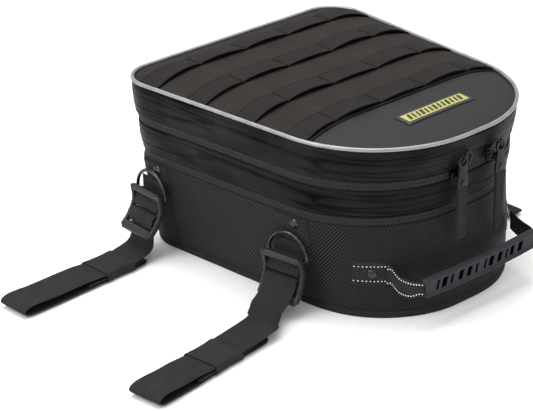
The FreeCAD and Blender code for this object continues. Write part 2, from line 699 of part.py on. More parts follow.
def upright_loft(stations, aside_half):
    """A bar through (place, height) stations, upright, its sides square to its path in plan."""
    wires = []
    last = len(stations) - 1
    for i, (spot, tall) in enumerate(stations):
        along = stations[min(i + 1, last)][0] - stations[max(i - 1, 0)][0]
        along = Vector(along.x, along.y, 0).normalize()
        aside = Vector(-along.y, along.x, 0) * aside_half
        rise = Vector(0, 0, tall / 2)
        corners = [spot - aside - rise, spot + aside - rise, spot + aside + rise, spot - aside + rise]
        wires.append(Part.makePolygon(corners + corners[:1]))
    return Part.makeLoft(wires, True, True)


def build_handle():
    """A moulded grip, slotted for the webbing that runs through it."""
    half = size("grip_length") / 2
    height = size("grip_height")
    sleeve = size("handle_width") - 5
    spots = [Vector(half * share, handle_curve(half * share), size("grip_z"))
             for share in (-1, -0.6, -0.2, 0.2, 0.6, 1)]
    beyond = Vector(1, 0, 0)
    longer = [spots[0] - beyond] + spots[1:-1] + [spots[-1] + beyond]
    grip = upright_loft([(spot, height) for spot in spots], size("grip_thick") / 2)
    slot = upright_loft([(spot, sleeve + 1) for spot in longer], size("grip_slot") / 2)
    add_feature("handle_grip", grip.cut(slot), Placement())
    add_feature("handle_webbing", handle_webbing(spots, sleeve), Placement())


def handle_webbing(grip_spots, sleeve):
    """The strap that runs through the grip and sweeps round to both anchors."""
    width = size("handle_width")
    half = size("grip_length") / 2
    root_y = size("handle_pivot_y") - 3.0
    z = size("grip_z")
    grip_end_y = grip_spots[0].y
    arm = [(Vector(half + 7.0, root_y, size("handle_pivot_z")), width),
           (Vector(half + 9.0, root_y - 14, z - 1.5), width),
           (Vector(half + 7.0, root_y - 26, z - 2), width),
           (Vector(half + 3.2, grip_end_y + 3, z), sleeve),
           (Vector(half + 0.6, grip_end_y, z), sleeve),
           (Vector(half - 5, grip_end_y - 0.3, z), sleeve)]
    left = [(Vector(-spot.x, spot.y, spot.z), tall) for spot, tall in arm]
    path = left + [(spot, sleeve) for spot in grip_spots[1:-1]] + arm[::-1]
    return upright_loft(path, size("webbing") / 2)


# ---------------------------------------------------------------- zip sliders and pulls
def rear_y(level, x):
    """Where the bulging rear end of an outline level lies at this x."""
    bulge = size("rear_bulge")
    return size(level + "_rear") - size("bag_length") / 2 + bulge - math.sqrt(bulge ** 2 - x * x)


def crown():
    """The upright loop over a main slider. It leans out over the lid's edge and holds the pull."""
    back = -size("crown_back")
    lean = -size("crown_lean")
    thick = -size("crown_thick")
    low, top = size("crown_low"), size("crown_top")
    width = size("crown_width")
    window = size("crown_window")
    corners = [Vector(-width / 2, y, z) for y, z in (
        (back, low), (back + lean, top), (back + lean + thick, top), (back + thick, low))]
    plate = Part.Face(Part.makePolygon(corners + corners[:1])).extrude(Vector(width, 0, 0))
    deep = size("crown_back") + size("crown_lean") + size("crown_thick")
    hole = Part.makeBox(window, deep + 2, window, Vector(-window / 2, -deep - 1, top - window - low))
    return plate.cut(hole)


def make_slider(name, spot, height, turn, crowned):
    """A zip slider that faces local -Y."""
    long = size("slider_length")
    deep = size("slider_depth")
    body = Part.makeBox(long, deep, height, Vector(-long / 2, -deep, -height / 2))
    edges = [e for e in body.Edges if abs(e.BoundBox.ZLength) > height - 0.1]
    shape = body.makeFillet(1.6, edges)
    if crowned:
        shape = shape.fuse(crown()).removeSplitter()
    add_feature(name, shape, Placement(spot, Rotation(UP, turn)))


def pull_plate():
    """A flat pull that hangs down from the origin, its back face in the XZ plane."""
    deep = size("pull_thick")
    long = size("pull_length")
    wide = size("pull_width")
    plate = Part.makeBox(wide, deep, long, Vector(-wide / 2, -deep, -long))
    return plate.makeFillet(size("pull_corner"),
                            [e for e in plate.Edges if abs(e.BoundBox.YLength) > deep - 0.1])


def make_pull(side, spot, tail_length, turn):
    """A metal pull with an eye near its top, and the webbing tail that hangs from its lower end."""
    deep = size("pull_thick")
    long = size("pull_length")
    wide = size("pull_width")
    eye = size("pull_eye")
    window = Part.makeBox(wide - 4, deep + 2, 2 * eye, Vector(2 - wide / 2, -deep - 1, -3 * eye))
    place = Placement(spot, Rotation(UP, turn))
    add_feature("pull_" + side, pull_plate().cut(window), place)
    thick = size("tail_thick")
    width = size("tail_width")
    tail = Part.makeBox(width, thick, tail_length,
                        Vector(-width / 2, -(deep + thick) / 2, -long - tail_length - 0.2))
    add_feature("pull_tail_" + side, tail, place)


def build_zips():
    z = (size("main_split_height") + size("main_rejoin_height")) / 2
    deep = size("crown_back") + size("crown_lean") + size("crown_thick") + size("pull_gap")
    for side in ("left", "right"):
        x = size(side + "_slider_x")
        y = rear_y("main_split", x) - size("slider_stand")
        turn = math.degrees(math.asin(x / size("rear_bulge")))
        make_slider("main_slider_" + side, Vector(x, y, z), size("slider_height"), turn, True)
        make_pull(side, Vector(x, y - deep, z + size("pull_rise")), size(side + "_tail"), turn)
    z = (size("fold_split_height") + size("fold_rejoin_height")) / 2
    y = size("bag_length") / 2 - size("fold_split_front") + size("slider_stand")
    x = size("fold_slider_x")
    make_slider("expansion_slider", Vector(x, y, z), size("fold_slider_height"), 180, False)
    face = y + size("slider_depth") + size("pull_gap")
    add_feature("expansion_pull", pull_plate(),
                Placement(Vector(x, face, z + size("fold_pull_rise")), Rotation(UP, 180)))


# ---------------------------------------------------------------- build and write
def check():
    """Stops the build where an object has failed or a sub-part has no valid solid."""
    doc.recompute()
    for obj in doc.Objects:
        if "Invalid" in obj.State or "Error" in obj.State:
            raise RuntimeError("%s failed: %s" % (obj.Name, obj.State))
    for node in nodes:
        if node.Shape.isNull() or not node.Shape.isValid() or not node.Shape.Solids:
            raise RuntimeError(node.Label + " has no valid solid")


def write():
    os.makedirs("parts", exist_ok=True)
    for node in nodes:
        node.Shape.exportStep("parts/%s.step" % node.Label)


build_casing()
build_gusset()
build_lid_inside()
build_lid_dress()
build_wall_pieces()
build_rivets()
for name in STATIONS:
    make_ring(name)
    make_hanger(name)
    make_buckle(name)
for name in STRAPS:
    make_strap(name)
make_rear_right_strap()
build_handle()
build_zips()
check()
write()
for node in nodes:
    b = node.Shape.BoundBox
    print("%-24s %2d %10.0f  x %7.1f %7.1f  y %7.1f %7.1f  z %6.1f %6.1f" % (
        node.Label, len(node.Shape.Solids), node.Shape.Volume,
        b.XMin, b.XMax, b.YMin, b.YMax, b.ZMin, b.ZMax))
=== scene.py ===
"""Motorcycle tail bag: the visible model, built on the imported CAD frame.
Blender's units are metres; the sizes in this script are millimetres, turned into metres where a mesh is made.
+Z up, -Y the rounded rear end with the handle, -X the left side."""

import json
import math
import random

import bmesh
import bpy
import numpy as np
from mathutils import Matrix, Vector, noise


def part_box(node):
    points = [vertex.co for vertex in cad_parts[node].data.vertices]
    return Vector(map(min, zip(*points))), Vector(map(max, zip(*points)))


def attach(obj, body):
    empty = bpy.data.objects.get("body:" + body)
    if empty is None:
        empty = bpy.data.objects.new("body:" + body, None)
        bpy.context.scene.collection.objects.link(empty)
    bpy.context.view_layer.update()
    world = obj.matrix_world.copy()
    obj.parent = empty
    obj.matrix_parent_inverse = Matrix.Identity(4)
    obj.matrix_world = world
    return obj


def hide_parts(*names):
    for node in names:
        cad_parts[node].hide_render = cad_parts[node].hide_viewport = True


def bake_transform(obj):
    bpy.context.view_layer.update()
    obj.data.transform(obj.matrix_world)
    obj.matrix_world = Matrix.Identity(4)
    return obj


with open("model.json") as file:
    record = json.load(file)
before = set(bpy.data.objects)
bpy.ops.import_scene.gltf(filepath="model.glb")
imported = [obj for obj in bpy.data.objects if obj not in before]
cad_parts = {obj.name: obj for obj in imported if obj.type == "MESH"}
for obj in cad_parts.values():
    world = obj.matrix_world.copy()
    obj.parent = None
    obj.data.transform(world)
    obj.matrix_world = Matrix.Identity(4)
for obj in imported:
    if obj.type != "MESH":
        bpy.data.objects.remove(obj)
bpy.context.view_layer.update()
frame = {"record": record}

MM = 0.001
UP = np.array((0.0, 0.0, 1.0))
STATIONS = ("front_left", "rear_left", "front_right", "rear_right")

# ---------------------------------------------------------------- driving sizes
LENGTH = 350.0
FRONT_HALF, REAR_HALF = 155.5, 125.0
REAR_BULGE = 640.0
# Height, insets at the side, front and rear, and radii of the rear and front corners.
LEVELS = np.array((
    (0.0, 16.0, 10.0, 4.0, 104.0, 44.0),
    (7.0, 15.0, 10.0, 4.7, 105.0, 44.0),
    (97.0, 3.0, 10.0, 13.0, 115.0, 38.0),
    (105.5, 3.0, 10.0, 12.5, 115.0, 38.0),
    (134.3, 2.2, 5.5, 9.0, 117.0, 38.0),
    (143.3, 1.6, 3.6, 7.0, 118.0, 37.0),
    (176.8, 0.6, 0.6, 0.6, 120.0, 37.0),
    (190.0, 0.6, 0.6, 0.6, 120.0, 37.0),
))
# The outline's steps along half the rear bulge, a rear corner, a side, a front corner and half the front.
BULGE_STEPS, REAR_STEPS, SIDE_STEPS, FRONT_STEPS, EDGE_STEPS = 24, 32, 44, 14, 14
FABRIC, FOAM, WEBBING = 1.6, 3.0, 1.6
WALL_LOW, WALL_HIGH = 5.0, 97.0
FOLD_SPLIT, MIDDLE_LOW, MIDDLE_HIGH = 101.2, 105.5, 134.3
MAIN_SPLIT, LID_LOW, LID_HIGH = 138.8, 143.3, 176.8
PIPING_Z, PIPING_RADIUS = 178.8, 2.0
DOME_LOW, DOME_RISE, DOME_REACH = 176.9, 9.7, 60.0
LAYER = 1.3
STRAP_WIDTH, ROW_HALF = 38.0, 12.7


# ---------------------------------------------------------------- the bag's outline
def half_width(y):
    return REAR_HALF + (FRONT_HALF - REAR_HALF) * (y / LENGTH + 0.5)


def arc(centre, radius, start, end, steps):
    """Places and outward directions along an arc, without its last point."""
    angles = start + (end - start) * np.arange(steps) / steps
    outward = np.column_stack((np.cos(angles), np.sin(angles)))
    return centre + outward * radius, outward


def line(start, end, outward, steps):
    shares = (np.arange(steps) / steps)[:, None]
    return start + (end - start) * shares, np.tile(outward, (steps, 1))


def outline(z, out=0.0):
    """The bag's outline at a height, grown by out: places and outward directions, anticlockwise from the
    middle of the rear end. Each outline has the same number of points, so rows of them make a wall."""
    side_in, front_in, rear_in, rear_r, front_r = (
        np.interp(z, LEVELS[:, 0], LEVELS[:, k]) for k in range(1, 6))
    side_in, front_in, rear_in = side_in - out, front_in - out, rear_in - out
    rear_r, front_r = rear_r + out, front_r + out
    half = LENGTH / 2
    low = np.array((half_width(-half) - side_in, -half))
    side = np.array((half_width(half) - side_in, half)) - low
    side /= np.linalg.norm(side)
    inward = np.array((-side[1], side[0]))
    bulge = np.array((0.0, rear_in - half + REAR_BULGE))
    offset = low + inward * rear_r - bulge
    along = offset @ side
    rear = low + inward * rear_r + side * (
        -along - math.sqrt(along ** 2 - offset @ offset + (REAR_BULGE - rear_r) ** 2))
    base = np.array((half_width(0) - side_in, 0.0)) + inward * front_r
    front = base + side * ((half - front_in - front_r - base[1]) / side[1])
    side_turn = math.atan2(-inward[1], -inward[0])
    rear_turn = math.atan2(rear[1] - bulge[1], rear[0] - bulge[0])
    edge = np.array((0.0, half - front_in))
    runs = (arc(bulge, REAR_BULGE, -math.pi / 2, rear_turn, BULGE_STEPS),
            arc(rear, rear_r, rear_turn, side_turn, REAR_STEPS),
            line(rear - inward * rear_r, front - inward * front_r, -inward, SIDE_STEPS),
            arc(front, front_r, side_turn, math.pi / 2, FRONT_STEPS),
            line(front + (0, front_r), edge, (0.0, 1.0), EDGE_STEPS))
    places = np.vstack([run[0] for run in runs] + [edge])
    outward = np.vstack([run[1] for run in runs] + [(0.0, 1.0)])
    mirror = np.array((-1.0, 1.0))
    return (np.vstack((places, places[-2:0:-1] * mirror)), np.vstack((outward, outward[-2:0:-1] * mirror)))


AROUND = len(outline(0)[0])
RUN = np.concatenate(((0,), np.cumsum(np.linalg.norm(
    np.roll(outline(60)[0], -1, 0) - outline(60)[0], axis=1))))


def ripple(x, y, z):
    """How far soft cloth stands out from, or sinks into, the plain wall here."""
    return 0.55 * noise.noise(Vector((x / 60, y / 60, z / 40))) + 0.15 * noise.noise(
        Vector((x / 19, y / 19, z / 15 + 7)))


def wrinkles(x, y, height, wide, long, seed):
    """Soft noise over tables of x and y."""
    return np.array([[height * noise.noise(Vector((a / wide, b / long, seed))) for a, b in zip(p, q)]
                     for p, q in zip(x, y)])


def spread(ys, xs, count):
    """Tables of x and y that cover the bag's outline: one row for each y, out to the half width there."""
    return xs[:, None] * np.linspace(-1, 1, count), np.repeat(ys[:, None], count, 1)


def wall_row(z, out):
    places, outward = outline(z, out)
    shift = np.array([ripple(x, y, z) for x, y in places])
    return np.column_stack((places + outward * shift[:, None], np.full(len(places), z)))


def wall_spot(index, z, out):
    """A place on the wall, and the way it faces, at a fractional index round the outline."""
    places, outward = outline(z, out)
    low = int(math.floor(index)) % AROUND
    high, share = (low + 1) % AROUND, index - math.floor(index)
    x, y = places[low] * (1 - share) + places[high] * share
    away = outward[low] * (1 - share) + outward[high] * share
    away /= np.linalg.norm(away)
    shift = ripple(x, y, z)
    return np.array((x + away[0] * shift, y + away[1] * shift, z)), np.append(away, 0.0)


def index_at(value, axis, side, z=50.0):
    """The index where the outline at a height crosses this y (axis 1) or, near the rear, this x (axis 0)."""
    places = outline(z)[0][:AROUND // 2 + 1]
    known = places[:, 1] if axis else places[:BULGE_STEPS + REAR_STEPS + 4, 0]
    index = np.interp(value, known, np.arange(len(known)))
    return index if side > 0 else AROUND - index


# ---------------------------------------------------------------- mesh making
def add_mesh(name, points, faces, corners, finish, sharp=50):
    """An object from points in millimetres, faces, and cloth coordinates for each face corner."""
    mesh = bpy.data.meshes.new(name)
    mesh.from_pydata((np.asarray(points).reshape(-1, 3) * MM).tolist(), [], faces)
    cloth = mesh.uv_layers.new(name="cloth")
    cloth.data.foreach_set("uv", (np.asarray(corners, float) * MM).ravel())
    mesh.polygons.foreach_set("use_smooth", [True] * len(mesh.polygons))
    shape = bmesh.new()
    shape.from_mesh(mesh)
    bmesh.ops.recalc_face_normals(shape, faces=shape.faces)
    shape.to_mesh(mesh)
    shape.free()
    mesh.set_sharp_from_angle(angle=math.radians(sharp))
    mesh.materials.append(finish)
    piece = bpy.data.objects.new(name, mesh)
    bpy.context.collection.objects.link(piece)
    return piece


def grid(name, rows, finish, u, v, ring=False, tube=False, caps=False, sharp=50):
    """A surface through rows of points. ring joins each row's ends, tube joins the last row to the first, and
    caps close the ends of a ring. u goes with the columns and v with the rows, or either is a full table."""
    rows = np.asarray(rows, float)
    n, m = rows.shape[:2]
    i, j = np.meshgrid(np.arange(n - (not tube)), np.arange(m - (not ring)), indexing="ij")
    i, j = i.ravel(), j.ravel()
    above, beside = (i + 1) % n, (j + 1) % m
    faces = np.column_stack((i * m + j, i * m + beside, above * m + beside, above * m + j)).tolist()
    shape = (n + tube, m + ring)
    u = np.broadcast_to(u, shape)
    v = np.broadcast_to(np.asarray(v)[:, None] if np.ndim(v) == 1 else v, shape)
    spots = ((i, j), (i, j + 1), (i + 1, j + 1), (i + 1, j))
    corners = np.stack([np.column_stack((u[a, b], v[a, b])) for a, b in spots], 1).reshape(-1, 2).tolist()
    if caps:
        half = m // 2
        for row, back in ((0, True), (n - 1, False)):
            for k in range(half - 1):
                quad = [row * m + q for q in (k, k + 1, m - 2 - k, m - 1 - k)]
                faces.append(quad[::-1] if back else quad)
                corners += [(u[row, 0], v[row, 0])] * 4
    return add_mesh(name, rows, faces, corners, finish, sharp)


def running(points):
    """The running length along points."""
    return np.concatenate(((0,), np.cumsum(np.linalg.norm(np.diff(points, axis=0), axis=1))))


def wall_ring(name, profile, finish, fold=None):
    """A closed band of fabric round the bag, from the (height, out) places round its section."""
    rows = np.array([wall_row(z, out) for z, out in profile])
    if fold is not None:
        rows = fold(rows)
    v = np.append(0, np.cumsum(np.hypot(*np.diff(np.array(list(profile) + [profile[0]]), axis=0).T)))
    return grid(name, rows, finish, RUN, v, ring=True, tube=True)


def smooth_path(points, steps=8):
    """A Catmull-Rom curve through points; further columns, such as a heading, are carried along."""
    points = np.asarray(points, float)
    padded = np.vstack((2 * points[0] - points[1], points, 2 * points[-1] - points[-2]))
    made = []
    for a, b, c, d in zip(padded, padded[1:], padded[2:], padded[3:]):
        for t in np.arange(steps) / steps:
            made.append(0.5 * (2 * b + (c - a) * t + (2 * a - 5 * b + 4 * c - d) * t ** 2
                               + (3 * b - a - 3 * c + d) * t ** 3))
    return np.vstack((made, points[-1]))


def unit(vectors):
    return vectors / np.linalg.norm(vectors, axis=-1, keepdims=True)


def sweep(name, centres, aside, section, finish, scale=None, loop=False):
    """A section carried along a path. aside is the section's first direction at each place; its second is
    square to that and to the path. scale shrinks the section at places, to round the ends."""
    centres = np.asarray(centres, float)
    tangent = unit(np.roll(centres, -1, 0) - np.roll(centres, 1, 0) if loop
                   else np.gradient(centres, axis=0))
    aside = np.broadcast_to(aside, centres.shape)
    rise = unit(np.cross(tangent, aside))
    section = np.asarray(section, float)
    size = np.ones(len(centres)) if scale is None else np.asarray(scale, float)
    rows = (centres[:, None] + aside[:, None] * section[None, :, :1] * size[:, None, None]
            + rise[:, None] * section[None, :, 1:] * size[:, None, None])
    around = running(np.vstack((section, section[:1])))
    along = running(np.vstack((centres, centres[:1])) if loop else centres)
    shape = (len(along), len(around))
    return grid(name, rows, finish, np.broadcast_to(along[:, None], shape), np.broadcast_to(around, shape),
                ring=True, tube=loop, caps=not loop, sharp=60)


def round_section(radius, steps=12, flat=1.0):
    angles = 2 * math.pi * np.arange(steps) / steps
    return np.column_stack((np.cos(angles) * radius, np.sin(angles) * radius * flat))


def box_section(wide, tall, corner, steps=3):
    """A rectangle with rounded corners."""
    spots = []
    for quarter, (sx, sy) in enumerate(((1, 1), (-1, 1), (-1, -1), (1, -1))):
        for k in range(steps + 1):
            angle = math.pi / 2 * (quarter + k / steps)
            spots.append((sx * (wide / 2 - corner) + corner * math.cos(angle),
                          sy * (tall / 2 - corner) + corner * math.sin(angle)))
    return np.array(spots)


def sheet_with_map(name, top, under, finish, u, v):
    """A sheet of fabric between its top and under surfaces. Both are tables of points, and the cloth
    coordinates are tables of the same shape."""
    rows = np.concatenate((top, under[:, ::-1]), axis=1)
    u, v = (np.concatenate((table, table[:, ::-1], table[:, :1]), axis=1) for table in (u, v))
    return grid(name, rows, finish, u, v, ring=True, caps=True)


def thick_sheet(name, top, under, finish, u, v):
    """A sheet of fabric whose v is one value for each row; its u is one row of values or a full table."""
    shape = top.shape[:2]
    v = np.broadcast_to(np.asarray(v)[:, None], shape)
    return sheet_with_map(name, top, under, finish, np.broadcast_to(u, shape), v)


def scatter(name, template, places, finish):
    """Copies of a small closed shape in one mesh. template is (points, faces); places are matrices."""
    points, faces = template
    count = len(points)
    every = np.vstack([points @ np.array(m)[:3, :3].T + np.array(m)[:3, 3] for m in places])
    all_faces = [[k * count + q for q in face] for k in range(len(places)) for face in faces]
    corners = np.zeros((sum(len(face) for face in all_faces), 2))
    return add_mesh(name, every, all_faces, corners, finish, sharp=80)


def bead(length, width, height):
    """A stitch: a closed rounded grain that lies along local X."""
    rings = ((-0.5, 0.0), (-0.42, 0.6), (-0.2, 1.0), (0.2, 1.0), (0.42, 0.6), (0.5, 0.0))
    steps = 6
    points = [(rings[0][0] * length, 0, 0)]
    for share, size in rings[1:-1]:
        for k in range(steps):
            angle = 2 * math.pi * k / steps
            points.append((share * length, math.cos(angle) * size * width / 2,
                           math.sin(angle) * size * height / 2))
    points.append((rings[-1][0] * length, 0, 0))
    faces = [[0, 1 + (k + 1) % steps, 1 + k] for k in range(steps)]
    for ring in range(len(rings) - 3):
        low = 1 + ring * steps
        for k in range(steps):
            after = (k + 1) % steps
            faces.append([low + k, low + after, low + steps + after, low + steps + k])
    low = 1 + (len(rings) - 3) * steps
    faces += [[len(points) - 1, low + k, low + (k + 1) % steps] for k in range(steps)]
    return np.array(points), faces


def facing(spot, along, outward):
    """A matrix that puts local X along a line and local Z outward."""
    x = unit(np.asarray(along, float))
    z = unit(np.asarray(outward, float) - x * np.dot(outward, x))
    y = np.cross(z, x)
    made = np.eye(4)
    made[:3, 0], made[:3, 1], made[:3, 2], made[:3, 3] = x, y, z, spot
    return made


def joined(name, parts):
    """Several objects as one piece."""
    with bpy.context.temp_override(active_object=parts[0], object=parts[0], selected_editable_objects=parts,
                                   selected_objects=parts):
        bpy.ops.object.join()
    parts[0].name = name
    parts[0].data.name = name
    return parts[0]


def moved(piece, matrix):
    """Moves a piece's mesh by a matrix in millimetres."""
    made = Matrix(matrix)
    made.translation = made.translation * MM
    piece.data.transform(made)
    return piece


def box_corners(node):
    """The corners of a CAD node's box, in millimetres."""
    return [np.array(corner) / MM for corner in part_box(node)]


def circle(count):
    """This many angles, evenly spaced round a circle."""
    return np.linspace(0, 2 * math.pi, count + 1)[:-1]


def at_height(x, y, z):
    """The places with these x and y, at heights z or at one height z."""
    return np.dstack((x, y, np.zeros(x.shape) + z))


def fit(piece, body, slot, *nodes):
    """Puts a piece on its body and hides the CAD nodes that it stands for; slot is not used."""
    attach(piece, body)
    if nodes:
        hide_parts(*nodes)
    return piece


# ---------------------------------------------------------------- materials
class Value:
    """A node's output. Arithmetic on it adds Math nodes to its finish."""

    def __init__(self, finish, socket):
        self.finish, self.socket = finish, socket

    def __add__(self, other):
        return self.finish.math("ADD", self, other)

    def __sub__(self, other):
        return self.finish.math("SUBTRACT", self, other)

    def __rsub__(self, other):
        return self.finish.math("SUBTRACT", other, self)

    def __mul__(self, other):
        return self.finish.math("MULTIPLY", self, other)

    def __pow__(self, other):
        return self.finish.math("POWER", self, other)

    def __abs__(self):
        return self.finish.math("ABSOLUTE", self)


class Finish:
    """A Principled material, with short ways to add and join its nodes."""

    def __init__(self, name, roughness, **sockets):
        self.material = bpy.data.materials.new(name)
        self.material.use_nodes = True
        self.nodes = self.material.node_tree.nodes
        self.links = self.material.node_tree.links
        self.shader = self.nodes["Principled BSDF"]
        self.shader.inputs["Roughness"].default_value = roughness
        for socket, value in sockets.items():
            self.shader.inputs[socket.replace("_", " ")].default_value = value

    def join(self, value, socket):
        """Links a value to a node's input, or sets the input to a number or a colour."""
        if isinstance(value, Value):
            self.links.new(value.socket, socket)
        else:
            socket.default_value = value

    def add(self, kind, inputs, output=0, **settings):
        made = self.nodes.new("ShaderNode" + kind)
        for key, value in settings.items():
            setattr(made, key, value)
        for key, value in inputs.items():
            self.join(value, made.inputs[key])
        return Value(self, made.outputs[output])

    def math(self, operation, a, b=0.0):
        return self.add("Math", {0: a, 1: b}, operation=operation)

    def cloth(self):
        """Cloth coordinates in metres: along, and across."""
        split = self.nodes.new("ShaderNodeSeparateXYZ")
        self.join(self.add("UVMap", {}, uv_map="cloth"), split.inputs[0])
        return Value(self, split.outputs[0]), Value(self, split.outputs[1])

    def place(self):
        return self.add("TexCoord", {}, output=3)

    def wave(self, value, pitch):
        """A wave from 0 to 1 with this pitch in millimetres."""
        return self.math("SINE", value * (2 * math.pi / (pitch * MM))) * 0.5 + 0.5

    def speckle(self, size, detail=2.0):
        """Noise with grains of about this size in millimetres."""
        return self.add("TexNoise", {"Vector": self.place(), "Scale": 1 / (size * MM), "Detail": detail})

    def stretched(self, along, across, detail):
        """Noise that is stretched along the cloth. Its scales are per metre."""
        where = self.add("CombineXYZ", {0: along, 1: across})
        return self.add("TexNoise", {"Vector": where, "Scale": 1.0, "Detail": detail})

    def blend(self, share, low, high):
        """A colour between two colours."""
        made = self.nodes.new("ShaderNodeMix")
        made.data_type = "RGBA"
        for key, value in ((0, share), (6, low), (7, high)):
            self.join(value if isinstance(value, Value) else value + (1.0,), made.inputs[key])
        return Value(self, made.outputs[2])

    def mix(self, share, low, high):
        """A colour or number between low and high."""
        if isinstance(low, tuple):
            return self.blend(share, low, high)
        return self.add("MapRange", {0: share, 3: low, 4: high})

    def tint(self, colour, share, strength, towards=(0.0, 0.0, 0.0)):
        """A colour output mixed towards another by a share."""
        return self.blend(share * strength, colour, towards)

    def wear(self, colour, roughness=None, height=None, depth=0.3):
        """Joins the outputs to the shader. depth is how deep the bump is, in millimetres."""
        self.join(colour, self.shader.inputs["Base Color"])
        if roughness is not None:
            self.join(roughness, self.shader.inputs["Roughness"])
        if height is not None:
            bump = self.add("Bump", {"Strength": 1.0, "Distance": depth * MM, "Height": height})
            self.join(bump, self.shader.inputs["Normal"])
        return self.material


def ballistic_finish():
    """Coarse nylon with crossing yarns: one diagonal stands out on the rear, the other on the sides."""
    f = Finish("ballistic_nylon", 0.62, Specular_IOR_Level=0.14)
    along, across = f.cloth()
    lead = f.wave(along + across, 3.4)
    cross = f.wave(along - across, 3.4)
    yarn = f.wave(along + across, 1.05)
    corner = RUN[BULGE_STEPS + REAR_STEPS // 2] * MM
    share = f.add("MapRange", {0: abs(along), 1: corner - 0.06, 2: corner + 0.05, 3: 0.74, 4: 0.26})
    weave = lead * share + cross * (1.0 - share)
    height = weave + yarn * 0.18
    uneven = f.speckle(24, 3)
    share = weave ** 3.0 * f.mix(uneven, 0.7, 1.25)
    colour = f.mix(share, (0.0025, 0.0025, 0.0028), (0.056, 0.056, 0.058))
    return f.wear(colour, f.mix(weave, 0.7, 0.5), height, 0.4)


def coated_finish():
    """Smooth coated nylon: a fine grain, cloudy gloss and thin creases that run lengthwise, with painted
    shade that darkens the colour along the creases.
    """
    f = Finish("coated_fabric", 0.5, Specular_IOR_Level=0.1)
    along, across = f.cloth()
    weave = f.wave(along, 0.9) * f.wave(across, 0.9)
    clouds = f.speckle(45, 2)
    streaks = f.stretched(along * 6.0, across * 150.0, 2.0)
    folds = f.stretched(along * 4.0, across * 75.0, 1.0)
    line = 1.0 - abs(folds - 0.5) * 34.0
    line = f.math("MAXIMUM", line, 0.0)
    colour = f.mix(streaks ** 2.0, (0.0035, 0.0035, 0.0036), (0.024, 0.024, 0.025))
    # painted shade: the colour is darkened along the crease lines, where shade would fall in the folds
    colour = f.tint(f.tint(colour, weave, 0.3), line, 0.7)
    polish = clouds ** 2.0 - line * 0.15
    f.join(f.mix(polish, 0.02, 0.25), f.shader.inputs["Specular IOR Level"])
    height = weave * 0.2 + streaks * 1.3
    height = height - line * 0.9
    return f.wear(colour, f.mix(streaks, 0.36, 0.6), height, 0.24)


def lid_finish():
    """Dark grey nylon with a fine rib that runs fore and aft."""
    f = Finish("lid_fabric", 0.6, Specular_IOR_Level=0.2)
    along, across = f.cloth()
    rib = f.wave(along, 2.0)
    cross = f.wave(across, 1.1)
    clouds = f.speckle(30, 4)
    share = rib * 0.55 + cross * clouds * 0.6
    colour = f.mix(share, (0.008, 0.0083, 0.0088), (0.038, 0.0385, 0.0405))
    height = rib + cross * 0.5
    return f.wear(colour, f.mix(clouds, 0.52, 0.68), height, 0.14)


def cordura_finish():
    """The brownish panel under the webbing rows, with a coarse rib across the bag."""
    f = Finish("cordura_panel", 0.75, Specular_IOR_Level=0.1)
    along, across = f.cloth()
    rib = f.wave(along + across * 0.25, 2.3)
    cross = f.wave(across, 1.5)
    clouds = f.speckle(22, 3)
    share = (rib * 0.7 + cross * 0.3) * f.mix(clouds, 0.6, 1.2)
    colour = f.mix(share, (0.004, 0.0035, 0.0033), (0.050, 0.043, 0.040))
    return f.wear(colour, None, rib + cross * 0.6, 0.3)


def webbing_finish(name, dark, light, pitch=1.9, half=0.0):
    """Flat webbing: ribs across it, each broken into short floats by the warp yarns. Where half the width is
    given, the colour near both long edges is darkened as painted shadow, for the shadow lines along the
    edges."""
    f = Finish(name, 0.72, Specular_IOR_Level=0.12)
    along, across = f.cloth()
    warp = f.wave(across, 2.2)
    slant = along + abs(warp - 0.5) * (0.9 * MM)
    rib = f.wave(slant, pitch)
    clouds = f.speckle(16, 3)
    share = (rib * 0.6 + warp * 0.4) * f.mix(clouds, 0.55, 1.25)
    colour = f.mix(share, dark, light)
    if half:
        # painted shadow: the colour near the long edges is tinted towards black to stand in for the shadow
        # lines there
        edge = f.add("MapRange", {0: abs(across), 1: (half - 1.3) * MM, 2: (half - 0.5) * MM})
        colour = f.tint(colour, edge, 0.9)
    return f.wear(colour, f.mix(rib, 0.8, 0.6), rib + warp * 0.6, 0.3)


def lining_finish():
    f = Finish("lining", 0.7)
    along, across = f.cloth()
    weave = f.wave(along, 1.2) * f.wave(across, 1.2)
    clouds = f.speckle(35, 3)
    colour = f.tint(f.mix(clouds, (0.075, 0.077, 0.08), (0.12, 0.122, 0.128)), weave, 0.3)
    return f.wear(colour, None, weave + clouds * 2.0, 0.15)


def piping_finish():
    """Silver reflective piping: a fine bead texture and a darker line along its middle."""
    f = Finish("piping", 0.38, Metallic=0.5)
    across = f.cloth()[1]
    beads = f.speckle(1.1, 2)
    clouds = f.speckle(14, 3)
    middle = across * (1 / (2 * math.pi * PIPING_RADIUS * MM))
    crease = 1.0 - abs(middle - 0.235) * 26.0
    crease = f.math("MAXIMUM", crease, 0.0)
    colour = f.mix(clouds * 0.6 + beads * 0.4, (0.13, 0.135, 0.14), (0.42, 0.43, 0.445))
    colour = f.tint(colour, crease, 0.8, (0.04, 0.04, 0.042))
    height = beads * 0.5 - crease
    return f.wear(colour, f.mix(clouds, 0.28, 0.45), height, 0.18)


def zip_tape_finish():
    """Twill tape whose slant turns over along the tape's middle."""
    f = Finish("zip_tape", 0.66, Specular_IOR_Level=0.15)
    along, across = f.cloth()
    middle = abs(across - 3.2 * MM)
    twill = f.wave(along + middle, 3.0)
    cross = f.wave(along - middle, 1.7)
    share = twill * 0.7 + cross * 0.3
    colour = f.mix(share ** 1.5, (0.001, 0.001, 0.0011), (0.058, 0.058, 0.06))
    return f.wear(colour, None, share, 0.3)


